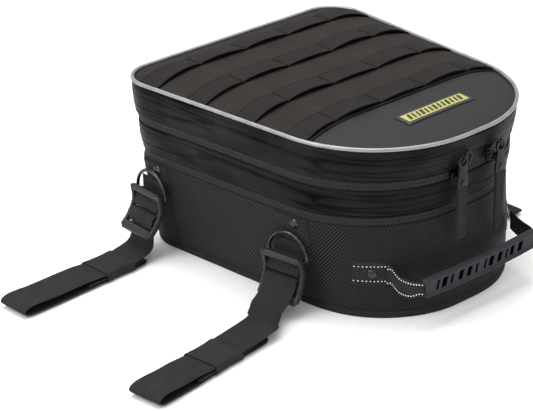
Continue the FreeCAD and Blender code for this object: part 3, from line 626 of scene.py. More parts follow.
def plain_cloth_finish(name, dark, light, roughness):
    """A thin fabric with a plain weave and soft folds."""
    f = Finish(name, roughness, Specular_IOR_Level=0.15)
    along, across = f.cloth()
    weave = f.wave(along, 1.4) * f.wave(across, 1.4)
    clouds = f.speckle(26, 3)
    colour = f.tint(f.mix(clouds, dark, light), weave, 0.35)
    return f.wear(colour, None, weave + clouds, 0.15)


def plastic_finish():
    """Moulded plastic: a fine spark-eroded grain, with a little dust and scuffing."""
    f = Finish("buckle_plastic", 0.4, Specular_IOR_Level=0.32)
    grain = f.speckle(0.5, 2)
    scuffs = f.speckle(6, 5)
    colour = f.mix(scuffs, (0.010, 0.010, 0.011), (0.026, 0.026, 0.028))
    return f.wear(colour, f.mix(scuffs, 0.34, 0.52), grain, 0.05)


def metal_finish(name, dark, light, low, high, metallic=1.0):
    """Plated or enamelled metal with fine scratches and rubbed places."""
    f = Finish(name, 0.3, Metallic=metallic, Specular_IOR_Level=0.22)
    rubbed = f.speckle(4, 4)
    scratches = f.add("TexNoise", {"Vector": f.add("Mapping", {0: f.place(), 3: (90, 900, 240)}),
                                   "Scale": 6.0,
                                   "Detail": 3.0})
    colour = f.mix(rubbed ** 1.5, dark, light)
    return f.wear(colour, f.mix(scratches, low, high), scratches, 0.02)


def rubber_finish():
    """Moulded soft rubber, faintly purple, rubbed on its ridges, with its recesses dull and darkened to near
    black as painted shade.
    """
    f = Finish("grip_rubber", 0.55, Specular_IOR_Level=0.2)
    grain = f.speckle(0.6, 2)
    clouds = f.speckle(9, 4)
    sunk = f.add("Attribute", {}, output=2, attribute_name="sunk")
    colour = f.mix(clouds, (0.020, 0.018, 0.023), (0.042, 0.037, 0.047))
    # painted shade: the pressed slots, marked by the sunk attribute, are tinted near black
    colour = f.tint(colour, sunk, 1.0, (0.0006, 0.0006, 0.0008))
    f.join(f.mix(sunk, 0.2, 0.0), f.shader.inputs["Specular IOR Level"])
    return f.wear(colour, f.mix(clouds, 0.48, 0.64), grain, 0.05)


def badge_finish(name, dark, light):
    f = Finish(name, 0.5)
    grain = f.speckle(0.6, 2)
    clouds = f.speckle(7, 3)
    return f.wear(f.mix(clouds, dark, light), f.mix(clouds, 0.42, 0.58), grain, 0.06)


def elastic_finish():
    """Ribbed elastic: fine cords across its stretch, puckered by the weft."""
    f = Finish("elastic", 0.78, Specular_IOR_Level=0.12)
    along, across = f.cloth()
    cords = f.wave(along, 1.5)
    pucker = f.wave(across, 1.2)
    share = cords * 0.7 + pucker * 0.3
    colour = f.mix(share * f.mix(f.speckle(14, 3), 0.7, 1.2), (0.005, 0.005, 0.0052),
                   (0.044, 0.044, 0.0455))
    return f.wear(colour, None, share, 0.25)


def thread_finish(name, dark, light, roughness):
    f = Finish(name, roughness, Specular_IOR_Level=0.2)
    twist = f.speckle(0.6, 2)
    return f.wear(f.mix(twist, dark, light), None, twist, 0.1)


def floor_finish():
    f = Finish("floor", 0.65)
    clouds = f.speckle(400, 2)
    return f.wear(f.mix(clouds, (0.90, 0.90, 0.90), (0.93, 0.93, 0.93)))


BALLISTIC = ballistic_finish()
COATED = coated_finish()
LID = lid_finish()
CORDURA = cordura_finish()
WEB = webbing_finish("webbing", (0.003, 0.003, 0.0031), (0.046, 0.0455, 0.046))
# ROW_HALF turns on the painted shadow along the rows' long edges
ROW_WEB = webbing_finish("row_webbing", (0.0025, 0.0021, 0.002), (0.034, 0.029, 0.0275), 2.0, ROW_HALF)
LINING = lining_finish()
PIPING = piping_finish()
TAPE = zip_tape_finish()
GUSSET = plain_cloth_finish("gusset_fabric", (0.02, 0.02, 0.021), (0.045, 0.045, 0.047), 0.6)
BASE = plain_cloth_finish("base_fabric", (0.010, 0.010, 0.0103), (0.026, 0.026, 0.0265), 0.7)
PLASTIC = plastic_finish()
METAL = metal_finish("dark_metal", (0.02, 0.02, 0.022), (0.13, 0.13, 0.135), 0.2, 0.4)
ENAMEL = metal_finish("slider_metal", (0.0015, 0.0015, 0.0018), (0.008, 0.008, 0.0085), 0.25, 0.45, 0.05)
RUBBER = rubber_finish()
BADGE = badge_finish("badge_black", (0.008, 0.008, 0.009), (0.018, 0.018, 0.019))
YELLOW = badge_finish("badge_yellow", (0.30, 0.28, 0.06), (0.46, 0.43, 0.14))
ELASTIC = elastic_finish()
THREAD = thread_finish("thread", (0.008, 0.008, 0.008), (0.03, 0.03, 0.031), 0.6)
TACK = thread_finish("tack_thread", (0.001, 0.001, 0.001), (0.006, 0.0055, 0.0053), 0.8)
GLINT = thread_finish("reflective_thread", (0.62, 0.62, 0.63), (0.92, 0.92, 0.93), 0.35)
COIL = thread_finish("zip_coil", (0.012, 0.012, 0.0125), (0.04, 0.04, 0.042), 0.4)


# ---------------------------------------------------------------- camera, lights and floor
def add_camera():
    place, target = Vector((-1.2667, -1.3018, 0.9166)), Vector((-0.1237, -0.0178, 0.0894))
    roll = math.radians(-1.07)
    camera = bpy.data.objects.new("camera", bpy.data.cameras.new("camera"))
    turn = (target - place).to_track_quat("-Z", "Y").to_matrix() @ Matrix.Rotation(roll, 3, "Z")
    camera.matrix_world = Matrix.Translation(place) @ turn.to_4x4()
    camera.data.lens = 132.9
    camera.data.sensor_width = 36.0
    camera.data.clip_end = 20.0
    bpy.context.collection.objects.link(camera)
    bpy.context.scene.camera = camera


def add_light(name, place, size, power):
    light = bpy.data.lights.new(name, "AREA")
    light.shape = "RECTANGLE"
    light.size, light.size_y = size
    light.energy = power
    lamp = bpy.data.objects.new(name, light)
    lamp.location = place
    lamp.rotation_euler = (Vector((0, 0, 0.1)) - Vector(place)).to_track_quat("-Z", "Y").to_euler()
    bpy.context.collection.objects.link(lamp)


def add_stage():
    world = bpy.data.worlds.new("studio")
    bpy.context.scene.world = world
    world.use_nodes = True
    nodes, links = world.node_tree.nodes, world.node_tree.links
    sky = nodes["Background"]
    sky.inputs[0].default_value = (1.0, 1.0, 1.0, 1.0)
    split = nodes.new("ShaderNodeSeparateXYZ")
    rise = nodes.new("ShaderNodeMapRange")
    for place, value in ((1, 0.0), (2, 0.85), (3, 0.22), (4, 1.25)):
        rise.inputs[place].default_value = value
    links.new(nodes.new("ShaderNodeTexCoord").outputs["Generated"], split.inputs[0])
    links.new(split.outputs[2], rise.inputs[0])
    seen = nodes.new("ShaderNodeMath")
    seen.operation = "MAXIMUM"
    links.new(rise.outputs[0], seen.inputs[0])
    links.new(nodes.new("ShaderNodeLightPath").outputs["Is Camera Ray"], seen.inputs[1])
    links.new(seen.outputs[0], sky.inputs[1])
    add_light("key", (-2.2, 0.6, 1.7), (1.6, 1.6), 34)
    add_light("top", (0.1, 0.5, 2.6), (2.0, 2.0), 46)
    add_light("rear", (0.9, -2.4, 1.1), (1.6, 1.6), 4)
    bpy.context.scene.view_settings.view_transform = "Standard"
    floor = add_mesh("floor", np.array(((-9000, -9000, 0), (9000, -9000, 0), (9000, 9000, 0),
                                        (-9000, 9000, 0))),
                     [[0, 1, 2, 3]], np.zeros((4, 2)), floor_finish())


add_camera()
add_stage()


# ---------------------------------------------------------------- casing
EDGE = ((0.0, -1.3), (0.35, -0.45), (1.0, 0.1), (2.0, 0.28), (2.9, 0.1), (3.4, -0.14), (3.9, 0.08))


def band_profile(low, high, swell, step, rolled=(True, True)):
    """Round a band's section: rolled edges, a sunk stitch line beside each, and a soft swelling between."""
    edge = EDGE if rolled[0] else ((0.0, 0.0),)
    top = EDGE if rolled[1] else ((0.0, 0.0),)
    outer = [(low + z, out) for z, out in edge]
    start, end = low + edge[-1][0], high - top[-1][0]
    count = max(3, int((end - start) / step))
    for k in range(1, count):
        share = k / count
        outer.append((start + (end - start) * share, 0.1 + swell * math.sin(math.pi * share) ** 0.8))
    outer += [(high - z, out) for z, out in reversed(top)]
    inner = [(low + (high - low) * share, -FABRIC) for share in (1.0, 0.75, 0.5, 0.25, 0.0)]
    return outer + inner


def creased(low, high, depth):
    """A function that presses faint lengthwise creases into the rows of a band."""
    def press(rows):
        for row in rows:
            z = row[0, 2]
            outward = outline(z)[1]
            for place, (nx, ny) in zip(row, outward):
                x, y = place[0] / 100, place[1] / 100
                for share, seed in ((0.36, 0), (0.66, 9)):
                    drift = 0.2 * noise.noise(Vector((x, y, low / 20 + seed)))
                    middle = low + (high - low) * (share + drift)
                    strength = max(0.0, noise.noise(Vector((x * 2.1, y * 2.1, low / 20 + 5 + seed))) + 0.25)
                    sunk = depth * strength * max(0.0, 1 - abs(z - middle) / 1.8)
                    place[0] -= nx * sunk
                    place[1] -= ny * sunk
        return rows
    return press


def round_wall(z, out, margin, pitch):
    """Evenly spaced places round the bag, each with the directions along the wall and away from it."""
    row = wall_row(z, out)
    outward = outline(z)[1]
    total = running(np.vstack((row, row[:1])))
    for run in np.arange(margin, total[-1] - margin, pitch):
        k = int(np.searchsorted(total, run)) - 1
        share = (run - total[k]) / (total[k + 1] - total[k])
        after = (k + 1) % AROUND
        yield row[k] * (1 - share) + row[after] * share, row[after] - row[k], np.append(outward[k], 0.0)


def stitch_line(name, z, out, pitch, finish):
    """A row of stitches right round the bag."""
    matrices = [facing(spot + away * 0.12, along, away)
                for spot, along, away in round_wall(z, out, pitch / 2, pitch)]
    return scatter(name, bead(pitch * 0.72, 0.65, 0.5), matrices, finish)


def make_lower_wall():
    """The ballistic nylon wall. Its cloth coordinates start at the middle of the rear end."""
    profile = band_profile(WALL_LOW, WALL_HIGH, 0.9, 3.2, (False, True))
    rows = np.array([np.roll(wall_row(z, out), AROUND // 2, 0) for z, out in profile])
    middle = np.roll(outline(60)[0], AROUND // 2, 0)
    run = running(np.vstack((middle, middle[:1])))
    run -= run[-1] / 2
    ring_v = np.append(0, np.cumsum(np.hypot(*np.diff(np.array(profile + profile[:1]), axis=0).T)))
    wall = grid("lower_wall", rows, BALLISTIC, run, ring_v, ring=True, tube=True)
    fit(wall, "body", "ballistic_nylon", "lower_shell")


def make_bands():
    middle = wall_ring("middle_band_cloth", band_profile(MIDDLE_LOW, MIDDLE_HIGH, 1.0, 1.2), COATED,
                       creased(MIDDLE_LOW, MIDDLE_HIGH, 2.1))
    fit(middle, "middle", "coated_fabric", "middle_band")
    lid = wall_ring("lid_band_cloth", band_profile(LID_LOW, LID_HIGH, 0.9, 1.2), COATED,
                    creased(LID_LOW, LID_HIGH, 2.1))
    fit(lid, "lid", "coated_fabric", "lid_band")
    for name, z, body in (("stitches_lower", WALL_HIGH - 3.4, "body"),
                          ("stitches_middle_low", MIDDLE_LOW + 3.4, "middle"),
                          ("stitches_middle_high", MIDDLE_HIGH - 3.4, "middle"),
                          ("stitches_lid", LID_LOW + 3.4, "lid")):
        fit(stitch_line(name, z, -0.14, 3.4, THREAD), body, "coated_fabric")


def make_tape(name, low, high, seam_high, body, node):
    """Half of a zip: twill tape with a raised edge where it meets its other half."""
    outer = [(0.0, -2.0), (0.12, -1.6), (0.4, -1.45), (0.7, -1.3), (0.9, -1.05), (0.985, -1.1), (1.0, -1.4)]
    inner = [(1.0, -2.4), (0.6, -2.7), (0.0, -2.7)]
    tall = high - low
    profile = [((low + tall * share) if seam_high else (high - tall * share), out)
               for share, out in outer + inner]
    if not seam_high:
        profile = profile[::-1]
    fit(wall_ring(name, profile, TAPE), body, "zip_tape", node)


def make_coil(name, z, body):
    """The coil of a zip half: fine upright teeth behind the tape's edge."""
    matrices = [facing(spot, UP, away) for spot, _, away in round_wall(z, -2.9, 0.8, 1.9)]
    fit(scatter(name, bead(2.6, 1.2, 1.1), matrices, COIL), body, "zip_tape")


def make_zips():
    make_tape("fold_tape_lower", WALL_HIGH - 0.6, FOLD_SPLIT - 0.12, True, "body", "expansion_zip_lower")
    make_tape("fold_tape_upper", FOLD_SPLIT + 0.12, MIDDLE_LOW + 0.6, False, "middle",
              "expansion_zip_upper")
    make_tape("main_tape_lower", MIDDLE_HIGH - 0.6, MAIN_SPLIT - 0.12, True, "middle", "main_zip_lower")
    make_tape("main_tape_upper", MAIN_SPLIT + 0.12, LID_LOW + 0.6, False, "lid", "main_zip_upper")
    make_coil("fold_coil_lower", FOLD_SPLIT - 1.1, "body")
    make_coil("fold_coil_upper", FOLD_SPLIT + 1.1, "middle")
    make_coil("main_coil_lower", MAIN_SPLIT - 1.1, "middle")
    make_coil("main_coil_upper", MAIN_SPLIT + 1.1, "lid")


def make_gusset():
    """Thin fabric in three folds behind the expansion zip."""
    low, high, folds = WALL_HIGH + 0.4, MIDDLE_LOW - 0.8, 6
    path = []
    for k in range(folds * 4 + 1):
        share = k / (folds * 4)
        path.append((low + (high - low) * share, -6.0 - 2.6 * math.cos(math.pi * folds * share + math.pi)))
    profile = path + [(z + 0.4, out) for z, out in reversed(path)]
    piece = wall_ring("gusset_cloth", profile, GUSSET)
    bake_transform(piece)
    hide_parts("gusset")


def make_linings():
    """Quilted lining over foam, a soft floor and the lid's ceiling with its mesh pocket."""
    for name, low, high, body in (("lower_lining", WALL_LOW + 1, WALL_HIGH - 0.5, "body"),
                                  ("middle_lining", MIDDLE_LOW + 0.4, MIDDLE_HIGH - 0.4, "middle"),
                                  ("lid_lining", LID_LOW + 0.4, LID_HIGH - 0.4, "lid")):
        inner = -FABRIC - FOAM
        steps = 16
        outer_side = [(low + 0.8, -FABRIC - 0.3), (high - 0.8, -FABRIC - 0.3), (high, -FABRIC - 1.2),
                      (high, inner + 0.7)]
        inner_side = [(high - 1 - (high - low - 2) * k / steps, inner - 0.5 * math.sin(math.pi * k / steps))
                      for k in range(steps + 1)]
        profile = outer_side + inner_side + [(low, inner + 0.7), (low, -FABRIC - 1.2)]
        fit(wall_ring(name + "_cloth", profile, LINING), body, "lining", name)
    ys, xs = rim_rows(7.0, -FABRIC - FOAM + 0.2)
    x, y = spread(ys, xs, 41)
    soft = wrinkles(x, y, 0.5, 35, 35, 2.0)
    floor = thick_sheet("floor_lining", at_height(x, y, 7.6 + soft),
                        at_height(x, y, 5.2),
                        LINING, x, ys)
    fit(floor, "body", "lining", "base_stiffener")
    ys, xs = rim_rows(174.0, -FABRIC - FOAM + 0.2)
    x, y = spread(ys, xs, 41)
    soft = wrinkles(x, y, 0.5, 35, 35, 9.0)
    ceiling = thick_sheet("lid_ceiling", at_height(x, y, 176.7),
                          at_height(x, y, 174.2 + soft),
                          LINING, x, ys)
    fit(ceiling, "lid", "lining", "lid_board")
    low, high = box_corners("lid_pocket")
    xs, ys = np.linspace(low[0], high[0], 37), np.linspace(low[1], high[1], 33)
    x, y = np.meshgrid(xs, ys)
    bulge = 1.6 * (1 - (x / high[0]) ** 2) * (1 - (y / high[1]) ** 2)
    wrinkle = wrinkles(x, y, 0.5, 22, 40, 4.0)
    pocket = thick_sheet("pocket_mesh", at_height(x, y, high[2] - bulge + wrinkle + 1.0),
                         at_height(x, y, low[2] - bulge + wrinkle + 0.4), GUSSET, x, ys)
    fit(pocket, "lid", "lining", "lid_pocket")


def rim_rows(z, out):
    """The y and the half width of each outline place from the rear end to the front edge."""
    places = outline(z, out)[0][1:BULGE_STEPS + REAR_STEPS + SIDE_STEPS + FRONT_STEPS + 1]
    return places[:, 1], places[:, 0]


def make_base():
    """The binding round the base's edge, and the base board's covering."""
    profile = [(0.25, -0.6), (0.1, 0.3), (0.6, 0.95), (2.0, 1.15), (3.6, 1.1), (5.4, 1.15), (6.6, 0.95),
               (7.0, 0.4), (6.9, -0.3)]
    fit(wall_ring("base_binding_tape", profile, BASE), "body", "webbing", "base_binding")
    ys, xs = rim_rows(0.0, -0.5)
    x, y = spread(ys, xs, 41)
    ribs = 0.35 * (np.sin(2 * math.pi * x / 9.0) * np.sin(2 * math.pi * y / 9.0) > 0.2)
    board = thick_sheet("base_cloth", at_height(x, y, 4.9),
                        at_height(x, y, 0.05 + ribs), BASE, x, ys)
    fit(board, "body", "base_fabric", "base_panel")


# ---------------------------------------------------------------- lid
RIM = outline(LID_HIGH)[0]
# The y at which the panel under the webbing rows ends.
PANEL_END = -83.0


def dome(x, y):
    """The height of the domed top at these places."""
    spots = np.column_stack((np.ravel(x), np.ravel(y)))
    start, step = RIM, np.roll(RIM, -1, 0) - RIM
    offset = spots[:, None] - start
    share = np.clip((offset * step).sum(-1) / (step * step).sum(-1), 0, 1)
    distance = np.linalg.norm(offset - share[..., None] * step, axis=-1).min(1)
    inward = np.clip((distance - 3.8) / DOME_REACH, 0, 1)
    soft = np.array([noise.noise(Vector((a / 48, b / 48, 1.0))) for a, b in spots])
    return (DOME_LOW + DOME_RISE * (1 - (1 - inward) ** 2.2) + 0.5 * soft * inward).reshape(np.shape(x))


def make_lid_top():
    ys, xs = rim_rows(LID_HIGH, -2.9)
    x, y = spread(ys, xs, 61)
    top = at_height(x, y, dome(x, y))
    under = at_height(x, y, DOME_LOW)
    fit(thick_sheet("lid_top", top, under, LID, x, ys), "lid", "lid_fabric", "lid_panel")
    ys, xs = rim_rows(LID_HIGH, -4.0)
    keep = ys > PANEL_END + 0.1
    ys, xs = np.append(PANEL_END, ys[keep]), np.append(np.interp(PANEL_END, ys, xs), xs[keep])
    x, y = spread(ys, xs, 61)
    under = dome(x, y) + 0.1
    lift = wrinkles(x, y, 0.25, 14, 14, 6.0)
    panel = thick_sheet("row_panel", at_height(x, y, under + LAYER + lift), at_height(x, y, under),
                        CORDURA, x, ys)
    fit(panel, "lid", "cordura_panel", "molle_panel")


def make_piping():
    """Round reflective piping, with the sewn flange under it."""
    centres = wall_row(PIPING_Z, 1.2 - PIPING_RADIUS)
    outward = np.column_stack((outline(PIPING_Z)[1], np.zeros(AROUND)))
    tube = sweep("piping_cord", centres, outward, round_section(PIPING_RADIUS, 20), PIPING, loop=True)
    fit(tube, "lid", "piping", "lid_piping")
    profile = [(176.2, -2.6), (176.4, -0.9), (177.2, -0.6), (177.6, -1.2), (177.4, -2.8)]
    fit(wall_ring("piping_flange", profile, BASE), "lid", "piping")


TACKS = (-90.0, -30.0, 30.0, 90.0)
ROW_PLACES = tuple(127.7 - 65.3 * k for k in range(4))


def make_rows():
    """Webbing rows sewn down at bar tacks, which rise in soft arches between them."""
    dice = random.Random(7)
    tacks = []
    for number, middle in enumerate(ROW_PLACES, start=1):
        ys = np.linspace(-ROW_HALF, ROW_HALF, 11)
        columns = np.linspace(-1, 1, 221)
        rim_y, rim_x = rim_rows(LID_HIGH, -3.4)
        span = np.interp(middle + ys, rim_y, rim_x)
        x = span[:, None] * columns
        y = np.repeat(ys[:, None], len(columns), 1)
        lift = np.zeros(x.shape)
        sway = np.zeros(x.shape)
        stops = (-span.min() + 4,) + TACKS + (span.min() - 4,)
        for low, high in zip(stops, stops[1:]):
            tall = dice.uniform(2.0, 3.3) * min(1.0, (high - low) / 50)
            drift = dice.uniform(-0.9, 0.9)
            share = np.clip((x - low) / (high - low), 0, 1)
            swell = np.sin(math.pi * share) ** 0.7
            lift += swell * tall * (0.85 - 0.2 * y / ROW_HALF)
            sway += np.sin(math.pi * share) * drift
        place_y = middle + y + sway
        under = dome(x, place_y) + LAYER + 0.25 + np.maximum(lift, 0)
        dip = sum(np.exp(-((x - tack) / 1.9) ** 2) for tack in TACKS)
        top = under + 1.75 * (1 - 0.45 * dip)
        piece = thick_sheet("row_%d" % number, at_height(x, place_y, top),
                            at_height(x, place_y, under), ROW_WEB, x, ys)
        fit(piece, "lid", "webbing", "molle_row_%d" % number)
        for tack in TACKS:
            for side in (-0.55, 0.55):
                spots = np.arange(-11.6, 11.7, 1.0)
                height = dome(np.full(len(spots), tack), middle + spots) + LAYER + 0.25 + WEBBING * 0.72
                for spot, z in zip(spots, height):
                    lean = 0.5 * side
                    tacks.append(facing((tack + side, middle + spot, z), (1.0, lean, 0.0), UP))
    fit(scatter("bar_tacks", bead(1.9, 0.85, 0.6), tacks, TACK), "lid", "webbing")


def dome_tile(name, outline_points, low, high, finish):
    """A flat tile with this outline that lies on the dome, between two heights over it."""
    points = np.array(outline_points)
    centre = points.mean(0)
    rings = [points, points, centre + (points - centre)
             * (1 - 0.4 / max(np.ptp(points, axis=0).min(), 1.0))]
    levels = (low, high - 0.15, high)
    rows = [np.column_stack((ring, dome(ring[:, 0], ring[:, 1]) + level))
            for ring, level in zip(rings, levels)]
    count = len(points)
    every = np.vstack(rows)
    faces = [[r * count + k, r * count + (k + 1) % count, (r + 1) * count + (k + 1) % count,
              (r + 1) * count + k]
             for r in range(2) for k in range(count)]
    faces += [list(range(count))[::-1], list(range(2 * count, 3 * count))]
    corners = np.vstack([every[face, :2] for face in faces])
    return add_mesh(name, every, faces, corners, finish, sharp=40)


def make_badge():
    """A black badge with a yellow field and a plain row of slanted bars: a generic mark."""
    y0 = -122.0
    x, y = np.meshgrid(np.linspace(-45, 45, 46), np.linspace(-10, 10, 13))
    rounded = np.minimum(1, (1 - (np.abs(x) / 45.6) ** 14)) * np.minimum(1, (1 - (np.abs(y) / 10.4) ** 10))
    under = dome(x, y + y0) + 0.15
    base = thick_sheet("badge_base", at_height(x, y + y0, under + 0.5 + 0.7 * rounded ** 0.3),
                       at_height(x, y + y0, under),
                       BADGE, x, y[:, 0])
    fit(base, "lid", "patch_rubber", "patch")
    field_x, field_y = np.meshgrid(np.linspace(-41, 41, 46), np.linspace(-6.6, 6.6, 9))
    level = dome(field_x, field_y + y0) + 1.25
    field = thick_sheet("badge_field", at_height(field_x, field_y + y0, level + 0.3),
                        at_height(field_x, field_y + y0, level),
                        YELLOW, field_x, field_y[:, 0])
    fit(field, "lid", "patch_rubber")
    bars = []
    for k in range(-6, 7):
        wide = 2.0 if k % 3 else 3.2
        left, low, high, lean = k * 5.7 - wide / 2, y0 - 4.4, y0 + 4.4, 1.3
        points = [(left - lean, low), (left + wide - lean, low), (left + wide + lean, high),
                  (left + lean, high)]
        bars.append(dome_tile("bar", points, 1.3, 2.1, BADGE))
    fit(joined("badge_bars", bars), "lid", "patch_rubber")


# ---------------------------------------------------------------- wall pieces
def wall_patch(name, ends, axis, side, low, high, finish, columns, rows):
    """Fabric that lies on the wall between two y (axis 1) or two x (axis 0). Its webbing runs upright on the
    side, and round the bag on the rear."""
    z = np.linspace(low, high, rows)
    edge = np.minimum(1, 2.2 * np.minimum(np.arange(columns), np.arange(columns)[::-1]) / columns) ** 0.4
    top, under = [], []
    for h in z:
        indices = np.linspace(*[index_at(end, axis, side, h) for end in ends], columns)
        top.append([wall_spot(i, h, 0.12 + 1.75 * (0.55 + 0.45 * e))[0] for i, e in zip(indices, edge)])
        under.append([wall_spot(i, h, 0.12)[0] for i in indices])
    top, under = np.array(top), np.array(under)
    upright = axis == 1
    run = running(under[rows // 2])
    along = np.repeat(z[:, None], columns, 1)
    across = np.repeat(run[None], rows, 0)
    u, v = (along, across) if upright else (across, along)
    return sheet_with_map(name, top, under, finish, u, v)


RECORD_JOINTS = {joint["name"]: joint for joint in frame["record"]["behaviour"]["joints"]}
LEAN = {"front": math.radians(12), "rear": 0.0}
TAB_HALF, TAB_LOW, TAB_HIGH = 20.0, 9.0, 96.0


def station_place(station):
    """The middle of a ring's bar, and the directions away from the wall and along the bar."""
    joint = RECORD_JOINTS["ring_swing_" + station]
    bar = np.array(joint["axis"], float)
    return np.array(joint["pos_m"]) / MM, np.array((bar[1], -bar[0], 0.0)), bar


def at_station(station, spots, lean=True):
    """Local (x, z) spots in the plane square to the bar, as places in the frame."""
    middle, away, _ = station_place(station)
    turn = LEAN[station.split("_")[0]] if lean else 0.0
    spots = np.asarray(spots, float)
    px, pz = 5.5, -11.0
    dx, dz = spots[:, 0] - px, spots[:, 1] - pz
    x = px + dx * math.cos(turn) - dz * math.sin(turn)
    z = pz + dz * math.cos(turn) + dx * math.sin(turn)
    return middle + away * x[:, None] + UP * z[:, None]


def button_template(radius, height):
    """A domed rivet head with a small shoulder."""
    profile = ((1.0, 0.0), (1.02, 0.12), (0.97, 0.32), (0.8, 0.62), (0.52, 0.86), (0.24, 0.97))
    steps = 24
    points = [(0, 0, 0)]
    for r, h in profile:
        points += [(r * radius * math.cos(2 * math.pi * k / steps),
                    r * radius * math.sin(2 * math.pi * k / steps), h * height)
                   for k in range(steps)]
    points.append((0, 0, height))
    faces = [[0, 1 + (k + 1) % steps, 1 + k] for k in range(steps)]
    for ring in range(len(profile) - 1):
        low = 1 + ring * steps
        faces += [[low + k, low + (k + 1) % steps, low + steps + (k + 1) % steps, low + steps + k]
                  for k in range(steps)]
    low = 1 + (len(profile) - 1) * steps
    faces += [[low + k, low + (k + 1) % steps, len(points) - 1] for k in range(steps)]
    return np.array(points, float), faces


def make_wall_pieces():
    tabs, rivets, sewing = [], [], []
    for station in STATIONS:
        side = -1 if station.endswith("left") else 1
        y = 125.0 if station.startswith("front") else -60.0
        ends = (y - TAB_HALF, y + TAB_HALF)
        tabs.append(wall_patch("tab_" + station, ends, 1, side, TAB_LOW, TAB_HIGH, WEB, 15, 30))
        index = index_at(y - 6.0, 1, side, 90.0)
        spot, away = wall_spot(index, 90.0, 1.9)
        rivets.append(facing(spot, UP, away))
        for z in (10.5, 84.0, 94.6):
            for k in range(16):
                place = y + TAB_HALF * (-0.84 + 1.68 * k / 15)
                spot, away = wall_spot(index_at(place, 1, side, z), z, 1.95)
                sewing.append(facing(spot, np.cross(away, UP), away))
        for edge in (0.07, 0.93):
            for k in range(36):
                z = TAB_LOW + 2 + k * 2.36
                spot, away = wall_spot(index_at(ends[0] + 2 * TAB_HALF * edge, 1, side, z), z, 1.9)
                sewing.append(facing(spot, UP, away))
    fit(joined("tabs", tabs), "body", "webbing", "side_tabs")
    fit(scatter("tab_stitches", bead(1.7, 0.6, 0.5), sewing, THREAD), "body", "webbing")
    glints = []
    for side, word in ((-1, "left"), (1, "right")):
        patch = wall_patch("anchor_" + word, (82.0, 106.0), 0, side, 36.0, 60.0, WEB, 15, 13)
        fit(patch, "body", "webbing", "handle_anchor_" + word)
        spot, away = wall_spot(index_at(94.0, 0, side, 48.0), 48.0, 1.9)
        rivets.append(facing(spot, UP, away))
        for z in (40.4, 55.6):
            for k in range(10):
                spot, away = wall_spot(index_at(82.6 + 2.5 * k, 0, side, z), z, 2.0)
                glints.append(facing(spot, np.cross(away, UP), away))
    fit(scatter("rivet_heads", button_template(5.0, 2.2), rivets, METAL), "body", "dark_metal", "rivets")
    fit(scatter("anchor_glints", bead(1.5, 1.25, 0.7), glints, GLINT), "body", "webbing")


make_lower_wall()
make_bands()
make_zips()
make_gusset()
make_linings()
make_base()
make_lid_top()
make_piping()
make_rows()
make_badge()
make_wall_pieces()


# ---------------------------------------------------------------- straps, buckles and rings
def station_matrix(station, lean=True):
    """The matrix from a station's local frame: X away from the wall, Y along the ring's bar, Z up."""
    turn = LEAN[station.split("_")[0]] if lean else 0.0
    _, away, bar = station_place(station)
    made = np.eye(4)
    made[:3, 0] = away * math.cos(turn) + UP * math.sin(turn)
    made[:3, 1] = bar
    made[:3, 2] = UP * math.cos(turn) - away * math.sin(turn)
    made[:3, 3] = at_station(station, [(0.0, 0.0)], lean)[0]
    return made


def upright(spots, y=0.0):
    """Places in the plane y of a local frame, from its (x, z) spots."""
    return np.array([(x, y, z) for x, z in spots])


def cloth_strip(name, places, finish, thick=WEBBING):
    """A strap through a table of places, its rows along the strap and its columns across it."""
    along, across = np.gradient(places, axis=0), np.gradient(places, axis=1)
    away = unit(np.cross(along, across))
    m = places.shape[1]
    edge = np.ones(m)
    edge[[0, -1]] = 0.3
    edge[[1, -2]] = 0.85
    shift = away * (thick / 2 * edge)[None, :, None]
    run = running(places[:, m // 2])
    width = running(places[len(places) // 2])
    u = np.repeat(run[:, None], m, 1)
    v = np.repeat(width[None], len(places), 0)
    return sheet_with_map(name, places + shift, places - shift, finish, u, v)


def strip_columns(width, count=11):
    inner = np.linspace(-1, 1, count) * (width / 2 - 0.7)
    return np.concatenate(((-width / 2,), inner, (width / 2,)))


def strip_places(centres, aside, width):
    """Places across a strap at each centre."""
    return centres[:, None] + aside[:, None] * strip_columns(width)[None, :, None]


# How far the pulls' pivots are above the middle of the main zip.
PIVOT_RISE = 22.2
RING_RADIUS, RING_HALF, RING_LEG = 1.8, 22.8, 3.5
BUCKLE_TOP, BUCKLE_PIVOT, BUCKLE_GRIP, BUCKLE_LIP = (9.5, 4.0), (5.5, -11.0), (8.5, -23.0), (15.5, -36.0)


def make_ring(station):
    """A D-ring bent from wire: a straight bar, two short legs and a half circle."""
    bend = 2.6
    flat = RING_HALF - bend
    spots = [(y, 0.0) for y in np.linspace(-flat, flat, 12)]
    spots += [(flat + bend * math.sin(a), bend - bend * math.cos(a))
              for a in np.linspace(0.3, math.pi / 2, 5)]
    spots += [(RING_HALF * math.cos(a), RING_LEG + RING_HALF * math.sin(a))
              for a in np.linspace(0.0, math.pi, 40)]
    spots += [(-flat - bend * math.sin(a), bend - bend * math.cos(a))
              for a in np.linspace(math.pi / 2, 0.3, 5)]
    centres = np.array([(0.0, y, z) for y, z in spots])
    ring = sweep("ring_wire_" + station, centres, np.array((1.0, 0.0, 0.0)),
                 round_section(RING_RADIUS, 16), METAL, loop=True)
    fit(moved(ring, station_matrix(station, False)), "d_ring_" + station, "dark_metal", "d_ring_" + station)


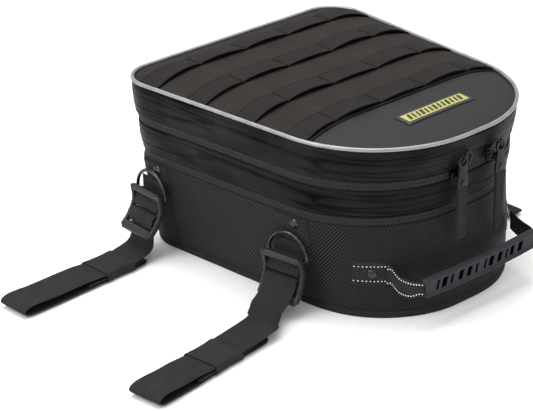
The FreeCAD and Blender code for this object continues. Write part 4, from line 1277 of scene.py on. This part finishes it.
def make_hanger(station):
    """One length of webbing: down from the tab, round the buckle's bar, and back over the ring's bar."""
    spots = ((-3.95, 16.3), (-3.95, 11.0), (-4.05, 5.0), (-3.3, 0.3), (-2.2, -2.6), (-0.2, -6.6),
             (1.4, -9.6), (2.6, -12.2),
             (4.6, -14.0), (6.9, -13.8), (8.5, -11.6), (8.2, -9.4), (6.2, -5.6), (4.2, -1.8), (2.7, 1.0),
             (1.3, 2.5),
             (-0.5, 2.8), (-1.9, 2.2))
    centres = smooth_path(upright(spots), 4)
    places = strip_places(centres, np.tile((0.0, 1.0, 0.0), (len(centres), 1)), STRAP_WIDTH)
    piece = cloth_strip("hanger_webbing_" + station, places, WEB)
    fit(moved(piece, station_matrix(station, False)), "body", "webbing", "hanger_" + station)


def make_buckle(station):
    """A ladder-lock buckle: two S-shaped rails, a broad top bar, two round bars and a heavy lip."""
    top, pivot, grip, lip = BUCKLE_TOP, BUCKLE_PIVOT, BUCKLE_GRIP, BUCKLE_LIP
    rail = smooth_path(upright((tuple(np.array(top) + (0.3, 2.4)), top, (6.6, -4.0), pivot, (6.4, -17.5),
                                grip, (11.1, -29.5),
                                lip, tuple(np.array(lip) + (0.9, -1.7)))), 5)
    scale = np.ones(len(rail))
    scale[:3] = scale[-3:][::-1] = (0.62, 0.86, 0.97)
    parts = []
    for side in (-1, 1):
        parts.append(sweep("rail", rail + (0.0, side * 22.1, 0.0), np.array((0.0, 1.0, 0.0)),
                           box_section(4.2, 6.2, 1.5), PLASTIC, scale))
    ys = np.linspace(-21.0, 21.0, 15)
    outward = np.array((1.0, 0.0, 0.0))
    for (x, z), section in ((top, box_section(5.4, 6.4, 1.7)), (pivot, round_section(2.1, 14)),
                            (grip, box_section(4.2, 4.0, 1.2))):
        parts.append(sweep("bar", np.array([(x, y, z) for y in ys]), outward, section, PLASTIC))
    lip_face = smooth_path(((-3.9, -3.7), (1.2, -4.1), (3.2, -1.4), (4.3, 1.6), (3.6, 4.2), (0.6, 4.6),
                            (-2.0, 3.4), (-3.7, -0.6),
                            (-3.9, -3.7)), 3)[:-1]
    parts.append(sweep("lip", np.array([(15.0, y, -35.3) for y in ys]), outward, lip_face, PLASTIC))
    piece = joined("buckle_body_" + station, parts)
    fit(moved(piece, station_matrix(station)), "buckle_" + station, "buckle_plastic", "buckle_" + station)


FALLS = {
    True: ((3.0, -39.0), (2.8, -31.0), (2.9, -24.0), (3.6, -18.4), (5.8, -16.3), (8.8, -16.4),
           (11.6, -18.0), (13.2, -22.4),
           (17.6, -29.4), (22.2, -33.8), (27.2, -37.4), (33.0, -40.2)),
    False: ((12.3, -30.0), (12.9, -25.0), (11.8, -19.2), (8.8, -16.3), (5.6, -16.2), (3.5, -18.2),
            (3.4, -22.6), (5.2, -27.8),
            (8.0, -32.4), (7.8, -39.0)),
}
# Which way the strap leaves its buckle, where it lands and ends, where its keeper is, and how far its near
# fold reaches out past the keeper and stands open.
STRAPS = {
    "front_left": (False, (-193.0, 120.0), (-338.0, 113.0), 0.16, 17.0, 3.4),
    "rear_left": (True, (-192.0, -83.0), (-350.0, -104.0), 0.42, 38.0, 5.4),
    "front_right": (False, (193.0, 120.0), (338.0, 113.0), 0.16, 17.0, 3.4),
}


def bundled(near, far, keeper, poke, opened, sideways):
    """The strap's far end: out along the top, round an open fold, back along the ground to a near fold, and
    in again between the two. Each row is a place and the direction across the strap."""
    ahead = unit(far - near)
    reach = np.linalg.norm(far - near)
    clasp = keeper * reach
    fold = clasp - 18.0 - poke
    spots = []
    for run, z, drift in (
            (clasp - 20, 8.6, 0.3), (clasp, 7.9, 0.0), (clasp + 20, 8.3, -0.2), (clasp + 38, 9.4, -0.7),
            (reach - 34, 10.6, 0.3), (reach - 20, 11.6, 0.4), (reach - 8, 11.4, 0.2),
            (reach - 2, 9.4, 0.0), (reach, 6.8, 0.0),
            (reach - 2, 4.0, 0.0), (reach - 7, 2.8, 0.2), (reach - 22, 2.4, 0.6), (reach - 50, 2.3, 0.9),
            (clasp + 30, 2.5, 0.5),
            (clasp, 3.0, 0.2), (clasp - 20, 2.8, 0.0), (fold + 5, 2.6, -0.5), (fold + 1, 3.2, -0.6),
            (fold, 3.0 + opened * 0.5, -0.6), (fold + 1.4, 2.6 + opened, -0.6),
            (fold + 6, 2.9 + opened, -0.4),
            (clasp - 19, 5.9, 0.2), (clasp, 5.4, 0.3), (clasp + 20, 5.2, 0.8), (clasp + 42, 5.0, 1.2)):
        place = near + ahead * run + sideways * drift
        spots.append((place[0], place[1], z, sideways[0], sideways[1]))
    return spots


# Where a strap stops following its buckle, and where it follows the strap's own body.
BENDS = {
    "front_left": ((6.0, -25.0), (8.0, -42.0)),
    "rear_left": ((15.0, -27.0), (34.0, -41.0)),
    "front_right": ((6.0, -25.0), (8.0, -42.0)),
    "rear_right": ((22.8, -29.5), (25.8, -40.5)),
}


def join_buckle(piece, station):
    """Works out where the strap stops following its buckle, though nothing uses these places, then fixes the
    strap's mesh where it stands and hides the CAD strap.
    """
    start, end = at_station(station, BENDS[station])
    tuple(start * MM)
    tuple(end * MM)
    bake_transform(piece)
    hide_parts("strap_" + station)


def make_strap(station):
    over_lip, landing, end, keeper, poke, opened = STRAPS[station]
    side = -1 if station.endswith("left") else 1
    away = station_place(station)[1]
    turned = np.cross(UP, away)
    spots = [tuple(spot) + (turned[0], turned[1]) for spot in at_station(station, FALLS[over_lip])]
    last = np.array(spots[-1][:3])
    near, far = np.array(landing + (8.0,)), np.array(end + (8.0,))
    ahead = unit(far - near)
    sideways = np.cross(UP, ahead)
    falls = ((0.07, 14.5), (0.3, 10.4), (0.62, 9.3), (1.0, 8.8))
    if over_lip:
        falls = ((0.34, 11.4), (0.66, 10.9), (1.0, 10.5))
    for share, height in falls:
        place = last + (near - last) * share
        aside = unit(turned * (1 - share) + sideways * share)
        spots.append((place[0], place[1], height, aside[0], aside[1]))
    spots += bundled(near, far, keeper, poke, opened, sideways)
    path = smooth_path(spots, 6)
    centres, aside = path[:, :3], np.column_stack((unit(path[:, 3:]), np.zeros(len(path))))
    places = strip_places(centres, aside, STRAP_WIDTH)
    curl = (strip_columns(STRAP_WIDTH) / (STRAP_WIDTH / 2)) ** 2
    run = running(centres)
    falling = np.clip((centres[:, 2] - 9.0) / 12.0, 0, 1)
    soft = np.array([0.9 * noise.noise(Vector((r / 34, 3.0 * side, len(station)))) for r in run])
    places += away * (falling * soft)[:, None, None] * (curl[None, :, None] - 0.4)
    join_buckle(cloth_strip("strap_webbing_" + station, places, WEB), station)
    make_keeper(station, near + (far - near) * keeper, ahead)


def make_rear_right_strap():
    """The strap that is folded forward: it turns over a slanting crease and lies beside the wall."""
    station = "rear_right"
    away = station_place(station)[1]
    turned = np.cross(UP, away)
    fall = smooth_path(at_station(station, FALLS[True][:-3] + ((21.8, -35.4), (22.6, -41.0))), 5)
    last = fall[-1]
    across = strip_columns(STRAP_WIDTH, 17)
    columns = -across
    bundle_x = last[0] + 4.0
    rows = [spot + turned * across[:, None] for spot in fall[:-1]]
    crease_x = last[0] + 4.0 + (columns + 19.0) / 38.0 * 19.0
    base_y = last[1] + columns
    for share in np.linspace(0.0, 1.0, 9):
        x = last[0] + (crease_x - last[0]) * share
        rows.append(np.column_stack((x, base_y, np.full(len(columns), 9.3 + 2.2 * (1 - share) ** 2))))
    for x_out, z in ((0.5, 8.9), (0.7, 8.4), (0.5, 7.9)):
        rows.append(np.column_stack((crease_x + x_out, base_y - x_out * 0.6, np.full(len(columns), z))))
    for ahead in (2.0, 6.0, 12.0, 20.0, 30.0, 42.0, 56.0, 72.0, 90.0, 108.0, 126.0, 140.0):
        share = min(1.0, ahead / 45.0)
        share = share * share * (3 - 2 * share)
        x = crease_x + (bundle_x + columns - crease_x) * share
        straight = last[1] + ahead + columns * (1 - min(1.0, ahead / 100.0))
        rows.append(np.column_stack((x, straight, np.full(len(columns), 7.5))))
    end_y = last[1] - 19.0 + 150.0
    for y, z in ((end_y - 1.2, 7.0), (end_y, 5.4), (end_y - 1.2, 3.8)):
        rows.append(np.column_stack((bundle_x + columns, np.full(len(columns), y),
                                     np.full(len(columns), z))))
    for y in np.linspace(end_y - 6.0, last[1] - 17.0, 10):
        rows.append(np.column_stack((bundle_x + columns, np.full(len(columns), y),
                                     np.full(len(columns), 3.0))))
    for y, z in ((-18.4, 3.5), (-19.0, 4.2), (-18.4, 5.0), (-15.0, 5.2), (40.0, 5.3), (70.0, 5.3)):
        rows.append(np.column_stack((bundle_x + columns, np.full(len(columns), last[1] + y),
                                     np.full(len(columns), z))))
    piece = cloth_strip("strap_webbing_" + station, np.array(rows), WEB)
    join_buckle(piece, station)
    make_keeper(station, np.array((bundle_x, last[1] - 19.0 + 85.0, 0.0)), np.array((0.0, 1.0, 0.0)))


def make_keeper(station, middle, ahead):
    """An elastic loop round the folded strap."""
    sideways = np.cross(UP, ahead)
    loop = box_section(41.6, 10.0, 3.6, 5)
    smooth = [a * (1 - t) + b * t for a, b in zip(loop, np.roll(loop, -1, 0))
              for t in (0.0, 0.25, 0.5, 0.75)]
    centres = np.array([(middle[0], middle[1], 5.5) + sideways * x + UP * z for x, z in smooth])
    rows = []
    for share in np.linspace(-1, 1, 13):
        pinch = 1.0 - 0.045 * math.cos(share * math.pi / 2)
        heart = np.array((middle[0], middle[1], 5.5))
        rows.append(heart + (centres - heart) * pinch + ahead * 18.0 * share)
    inner = [heart + ahead * np.dot(row[0] - heart, ahead)
             + (row - heart - ahead * np.dot(row[0] - heart, ahead))
             * (0.94, 0.94, 0.74) for row in rows[::-1]]
    every = np.array(rows + inner)
    v = np.arange(len(every) + 1) * 3.0
    piece = grid("keeper_elastic_" + station, every, ELASTIC, running(np.vstack((centres, centres[:1]))),
                 v, ring=True, tube=True)
    fit(piece, "keeper_" + station, "elastic", "keeper_" + station)


# ---------------------------------------------------------------- handle
GRIP_HALF, GRIP_Y, GRIP_BOW, GRIP_Z = 77.0, -186.0, 3.0, 44.3
MARKS = ((-62.0, 3.4), (-55.0, 7.0), (-43.5, 3.4), (-33.0, 6.2), (-21.5, 6.2), (-10.0, 3.4), (2.0, 3.4),
         (9.0, 7.0), (21.5, 6.2),
         (33.0, 3.4), (40.0, 6.2), (52.0, 7.0))


def grip_y(x):
    return GRIP_Y - GRIP_BOW * (1 - (x / GRIP_HALF) ** 2) + GRIP_BOW / 2


def make_grip():
    """A moulded grip with a ridge along its face and a row of plain slanting slots pressed into it."""
    face = smooth_path(((-3.2, 9.2), (0.5, 9.25), (3.2, 8.7), (3.9, 7.4), (3.5, 6.2), (2.3, 5.4),
                        (2.0, 3.4), (1.9, 1.0), (1.9, -1.4),
                        (2.0, -3.8), (2.4, -5.8), (3.4, -7.2), (3.9, -8.5), (2.8, -9.25), (-1.0, -8.8),
                        (-3.4, -7.5), (-3.8, -4.0),
                        (-3.8, 4.0), (-3.7, 8.0), (-3.2, 9.2)), 4)[:-1]
    xs = np.linspace(-GRIP_HALF, GRIP_HALF, 405)
    rows, sunk = [], []
    for x in xs:
        end = max(0.0, 1 - (GRIP_HALF - abs(x)) / 3.0)
        shrink = 1 - 0.14 * end ** 2
        a, b = face[:, 0] * shrink, face[:, 1] * shrink
        pressed = np.zeros(len(a))
        for start, wide in MARKS:
            lean = x - start - 0.28 * face[:, 1]
            inside = np.clip(lean / 0.5, 0, 1) * np.clip((wide - lean) / 0.5, 0, 1)
            pressed = np.maximum(pressed, inside)
        pressed *= (face[:, 0] > 1.5) * np.clip((4.9 - np.abs(face[:, 1])) / 0.5, 0, 1)
        a = a - 0.9 * pressed
        rows.append(np.column_stack((np.full(len(a), x), grip_y(x) - a, GRIP_Z + b)))
        sunk.append(pressed)
    around = running(np.vstack((face, face[:1])))
    piece = grid("grip_moulding", rows, RUBBER, around, xs, ring=True, caps=True, sharp=60)
    # sunk marks the pressed slots, which the rubber finish darkens as painted shade
    layer = piece.data.attributes.new("sunk", "FLOAT", "POINT")
    layer.data.foreach_set("value", np.array(sunk).ravel().astype(np.float32))
    fit(piece, "handle", "grip_rubber", "handle_grip")


def make_handle_webbing():
    """The handle's webbing: both arms, with two rows of bright stitches, and the part inside the grip."""
    pivot = np.array(RECORD_JOINTS["handle_lift"]["pos_m"]) / MM
    root = pivot[1] - 3.0
    tip = grip_y(GRIP_HALF)
    arm = ((88.0, root + 1.2, pivot[2], 20.0), (GRIP_HALF + 8.2, root - 3.0, pivot[2], 20.0),
           (GRIP_HALF + 8.8, root - 14.0, GRIP_Z - 1.5, 19.6),
           (GRIP_HALF + 7.0, root - 26.0, GRIP_Z - 2.0, 18.4), (GRIP_HALF + 3.4, tip + 3.0, GRIP_Z, 15.0),
           (GRIP_HALF + 0.4, tip + 0.1, GRIP_Z, 14.8),
           (GRIP_HALF - 5.0, grip_y(GRIP_HALF - 5.0), GRIP_Z, 14.6))
    inside = [(x, grip_y(x), GRIP_Z, 14.6) for x in (-50.0, -20.0, 20.0, 50.0)]
    left = [(-x, y, z, wide) for x, y, z, wide in arm]
    path = smooth_path(np.array(left + inside + list(arm)[::-1]), 8)
    share = strip_columns(20.0) / 10.0
    places = path[:, None, :3] + (UP * share[:, None])[None] * (path[:, 3] / 2)[:, None, None]
    fit(cloth_strip("handle_strap", places, WEB), "handle", "webbing", "handle_webbing")
    glints = []
    for number in (0, 1):
        half = path[:len(path) // 2] if number == 0 else path[len(path) // 2:][::-1]
        half = half[np.abs(half[:, 0]) > GRIP_HALF + 0.8]
        run = running(half[:, :3])
        for spot in np.arange(1.0, run[-1], 2.7):
            k = max(1, int(np.searchsorted(run, spot)))
            part = (spot - run[k - 1]) / (run[k] - run[k - 1])
            place = half[k - 1] * (1 - part) + half[k] * part
            along = half[k, :3] - half[k - 1, :3]
            away = unit(np.cross(along, UP))
            away = away * (-1.0 if away[0] * place[0] < 0 else 1.0)
            for up in (-1, 1):
                middle = place[:3] + UP * up * (place[3] / 2 - 2.6) + away * 0.85
                glints.append(facing(middle, along, away))
    fit(scatter("handle_glints", bead(1.45, 1.25, 0.7), glints, GLINT), "handle", "webbing")


# ---------------------------------------------------------------- zip sliders and pulls
def rounded_bar(name, rows, finish, ring_steps=4):
    """A bar through (z, half width, half depth, middle depth) rows with rounded sections."""
    made = []
    for z, wide, deep, middle in rows:
        section = box_section(2 * wide, 2 * deep, min(wide, deep) * 0.45, ring_steps)
        made.append(np.column_stack((section[:, 0], middle + section[:, 1], np.full(len(section), z))))
    around = running(np.vstack((section, section[:1])))
    return grid(name, made, finish, around, [row[0] for row in rows], ring=True, caps=True)


def make_slider(side):
    """A locking slider: a bevelled body, a wire crown, a pull that hangs in it and a webbing tail."""
    low, high = box_corners("main_slider_" + side)
    x = (low[0] + high[0]) / 2
    turn = math.asin(x / REAR_BULGE)
    place = np.eye(4)
    place[:2, :2] = ((math.cos(turn), -math.sin(turn)), (math.sin(turn), math.cos(turn)))
    place[:3, 3] = (x, high[1] - 8.5 * abs(math.sin(turn)), MAIN_SPLIT)
    outline_rows = ((-4.1, 6.0, 1.5, -2.1), (-3.6, 7.6, 1.9, -2.1), (-2.2, 8.4, 2.1, -2.1),
                    (0.0, 8.5, 2.2, -2.1), (2.2, 8.4, 2.1, -2.1),
                    (3.6, 7.6, 1.9, -2.1), (4.1, 6.0, 1.5, -2.1))
    parts = [rounded_bar("slider_plate", outline_rows, ENAMEL)]
    ridge = ((-2.6, 5.2, 0.5, -4.2), (-1.8, 6.0, 0.7, -4.3), (1.8, 6.0, 0.7, -4.3), (2.6, 5.2, 0.5, -4.2))
    parts.append(rounded_bar("slider_ridge", ridge, ENAMEL))
    inward = 1.0 if side == "left" else -1.0
    bail = smooth_path([(inward * bx, by, bz) for bx, by, bz in (
        (0.5, -3.4, 1.5), (-1.4, -6.4, 8.5), (-1.2, -9.6, 14.6), (0.2, -11.4, 18.6), (3.4, -10.4, 22.2),
        (7.6, -9.4, 23.6),
        (11.4, -9.0, 20.6), (12.4, -8.2, 15.4), (10.8, -6.8, 9.6), (7.6, -4.9, 4.4), (5.6, -3.2, 1.4))], 6)
    turned = unit(np.cross(np.gradient(bail, axis=0), (0.0, 1.0, 0.35)))
    parts.append(sweep("bail", bail, turned, round_section(1.35, 10), ENAMEL))
    for number in range(4):
        centre = np.array((inward * 14.6, -7.2, 6.0 + 3.6 * number))
        spots = [centre + (2.9 * math.cos(a), 1.9 * math.sin(a), 0.5 * math.cos(a))
                 for a in circle(17)]
        if side == "right":
            parts.append(sweep("coil", np.array(spots), np.array((0.0, 0.0, 1.0)), round_section(0.85, 8),
                               ENAMEL, loop=True))
    rim = [(inward * (6.6 + 3.4 * math.cos(a)), -5.4, 4.6 + 3.0 * math.sin(a))
           for a in circle(19)]
    parts.append(sweep("lock_eye", np.array(rim), np.array((0.0, 1.0, 0.0)), round_section(1.0, 8), ENAMEL,
                       loop=True))
    fit(moved(joined("slider_body_" + side, parts), place), "main_slider_" + side, "slider_metal",
        "main_slider_" + side)
    pull_place = place.copy()
    pull_place[:3, 3] = place[:3, 3] + place[:3, 1] * -9.95 + UP * PIVOT_RISE
    eye = [(5.3 * math.cos(a), 0.0, -6.6 + 5.2 * math.sin(a)) for a in circle(31)]
    parts = [sweep("eye", np.array(eye), np.array((0.0, 1.0, 0.0)), box_section(2.3, 2.8, 0.7), ENAMEL,
                   loop=True)]
    parts.append(rounded_bar("plate", ((-34.0, 6.2, 0.85, 0.0), (-33.2, 6.8, 1.1, 0.0),
                                       (-31.0, 7.0, 1.15, 0.0), (-27.0, 7.0, 1.15, 0.0),
                                       (-24.0, 6.4, 1.15, 0.0), (-18.0, 5.5, 1.1, 0.0),
                                       (-14.0, 5.2, 1.1, 0.0), (-11.0, 4.6, 1.1, 0.0)),
                               ENAMEL))
    parts.append(scatter("head", button_template(3.6, 1.0),
                         [facing((0.0, -1.1, -28.5), (1.0, 0.0, 0.0), (0.0, -1.0, 0.0))], ENAMEL))
    fit(moved(joined("pull_metal_" + side, parts), pull_place), "pull_" + side, "slider_metal",
        "pull_" + side)
    low, high = box_corners("pull_tail_" + side)
    zs = np.linspace(high[2] - MAIN_SPLIT - PIVOT_RISE + 1.2, low[2] - MAIN_SPLIT - PIVOT_RISE, 26)
    sway = np.array([0.35 * noise.noise(Vector((z / 22, x / 9, 3.0))) for z in zs])
    tail_parts = []
    for ply in (-1, 1):
        gap = np.interp(zs, (zs[-1], zs[-1] + 2.0, zs[0] - 3.0, zs[0]), (0.35, 0.86, 0.86, 0.5)) * ply
        centres = np.column_stack((sway, sway * 0.6 + gap, zs))
        places = strip_places(centres, np.tile((1.0, 0.0, 0.0), (len(zs), 1)), 12.0)
        tail_parts.append(cloth_strip("ply", places, WEB, 1.55))
    fit(moved(joined("tail_webbing_" + side, tail_parts), pull_place), "pull_" + side, "webbing",
        "pull_tail_" + side)
    sewing = []
    for edge in (-4.9, 4.9):
        sewing += [facing((edge, -1.68, z), UP, (0.0, -1.0, 0.0))
                   for z in np.arange(zs[-1] + 3.0, zs[0] - 1.0, 2.1)]
    for rise in (3.0, 8.0):
        sewing += [facing((spot, -1.68, zs[-1] + rise), (1.0, 0.0, 0.0), (0.0, -1.0, 0.0))
                   for spot in np.arange(-4.0, 4.1, 1.6)]
    sewn = scatter("tail_stitches_" + side, bead(1.5, 0.5, 0.4), sewing, THREAD)
    fit(moved(sewn, pull_place), "pull_" + side, "webbing")


def make_expansion_slider():
    low, high = box_corners("expansion_slider")
    place = np.eye(4)
    place[0, 0] = place[1, 1] = -1.0
    place[:3, 3] = ((low[0] + high[0]) / 2, low[1], FOLD_SPLIT)
    rows = ((-3.7, 6.6, 1.6, -2.7), (-3.2, 7.9, 2.2, -2.7), (-1.6, 8.5, 2.6, -2.7), (1.6, 8.5, 2.6, -2.7),
            (3.2, 7.9, 2.2, -2.7), (3.7, 6.6, 1.6, -2.7))
    body = rounded_bar("expansion_slider_body", rows, ENAMEL)
    fit(moved(body, place), "expansion_slider", "slider_metal", "expansion_slider")
    low, high = box_corners("expansion_pull")
    place[:3, 3] = ((low[0] + high[0]) / 2, (low[1] + high[1]) / 2, high[2])
    eye = [(5.2 * math.cos(a), 0.0, -6.4 + 5.0 * math.sin(a)) for a in circle(31)]
    parts = [sweep("eye", np.array(eye), np.array((0.0, 1.0, 0.0)), box_section(2.0, 2.5, 0.6), ENAMEL,
                   loop=True)]
    parts.append(rounded_bar("plate", ((-34.0, 6.2, 0.7, 0.0), (-33.3, 6.8, 0.95, 0.0),
                                       (-28.0, 7.0, 1.0, 0.0), (-22.0, 6.2, 1.0, 0.0),
                                       (-12.0, 5.2, 1.0, 0.0), (-10.4, 4.6, 1.0, 0.0)), ENAMEL))
    fit(moved(joined("expansion_pull_metal", parts), place), "expansion_pull", "slider_metal",
        "expansion_pull")


def make_hinge():
    """The fabric hinge across the front: an inner tape and an outer cover."""
    for name, half, low, high, out, thick, finish, nodes in (
            ("hinge_inner", 119.0, 134.7, 142.9, -5.4, 0.8, GUSSET, ("lid_hinge_tape",)),
            ("hinge_cover", 112.0, 131.5, 146.0, 0.5, 1.0, COATED, ())):
        xs = np.linspace(-half, half, 61)
        zs = np.linspace(low, high, 13)
        front = np.array([[(x, outline(z, out)[0][:, 1].max(), z) for x in xs] for z in zs])
        back = front + (0.0, thick, 0.0)
        piece = sheet_with_map(name, back, front, finish, np.repeat(xs[None], 13, 0),
                               np.repeat(zs[:, None], 61, 1))
        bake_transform(piece)
        if nodes:
            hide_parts(*nodes)


for station_name in STATIONS:
    make_ring(station_name)
    make_hanger(station_name)
    make_buckle(station_name)
for station_name in STRAPS:
    make_strap(station_name)
make_rear_right_strap()
make_grip()
make_handle_webbing()
make_slider("left")
make_slider("right")
make_expansion_slider()
make_hinge()
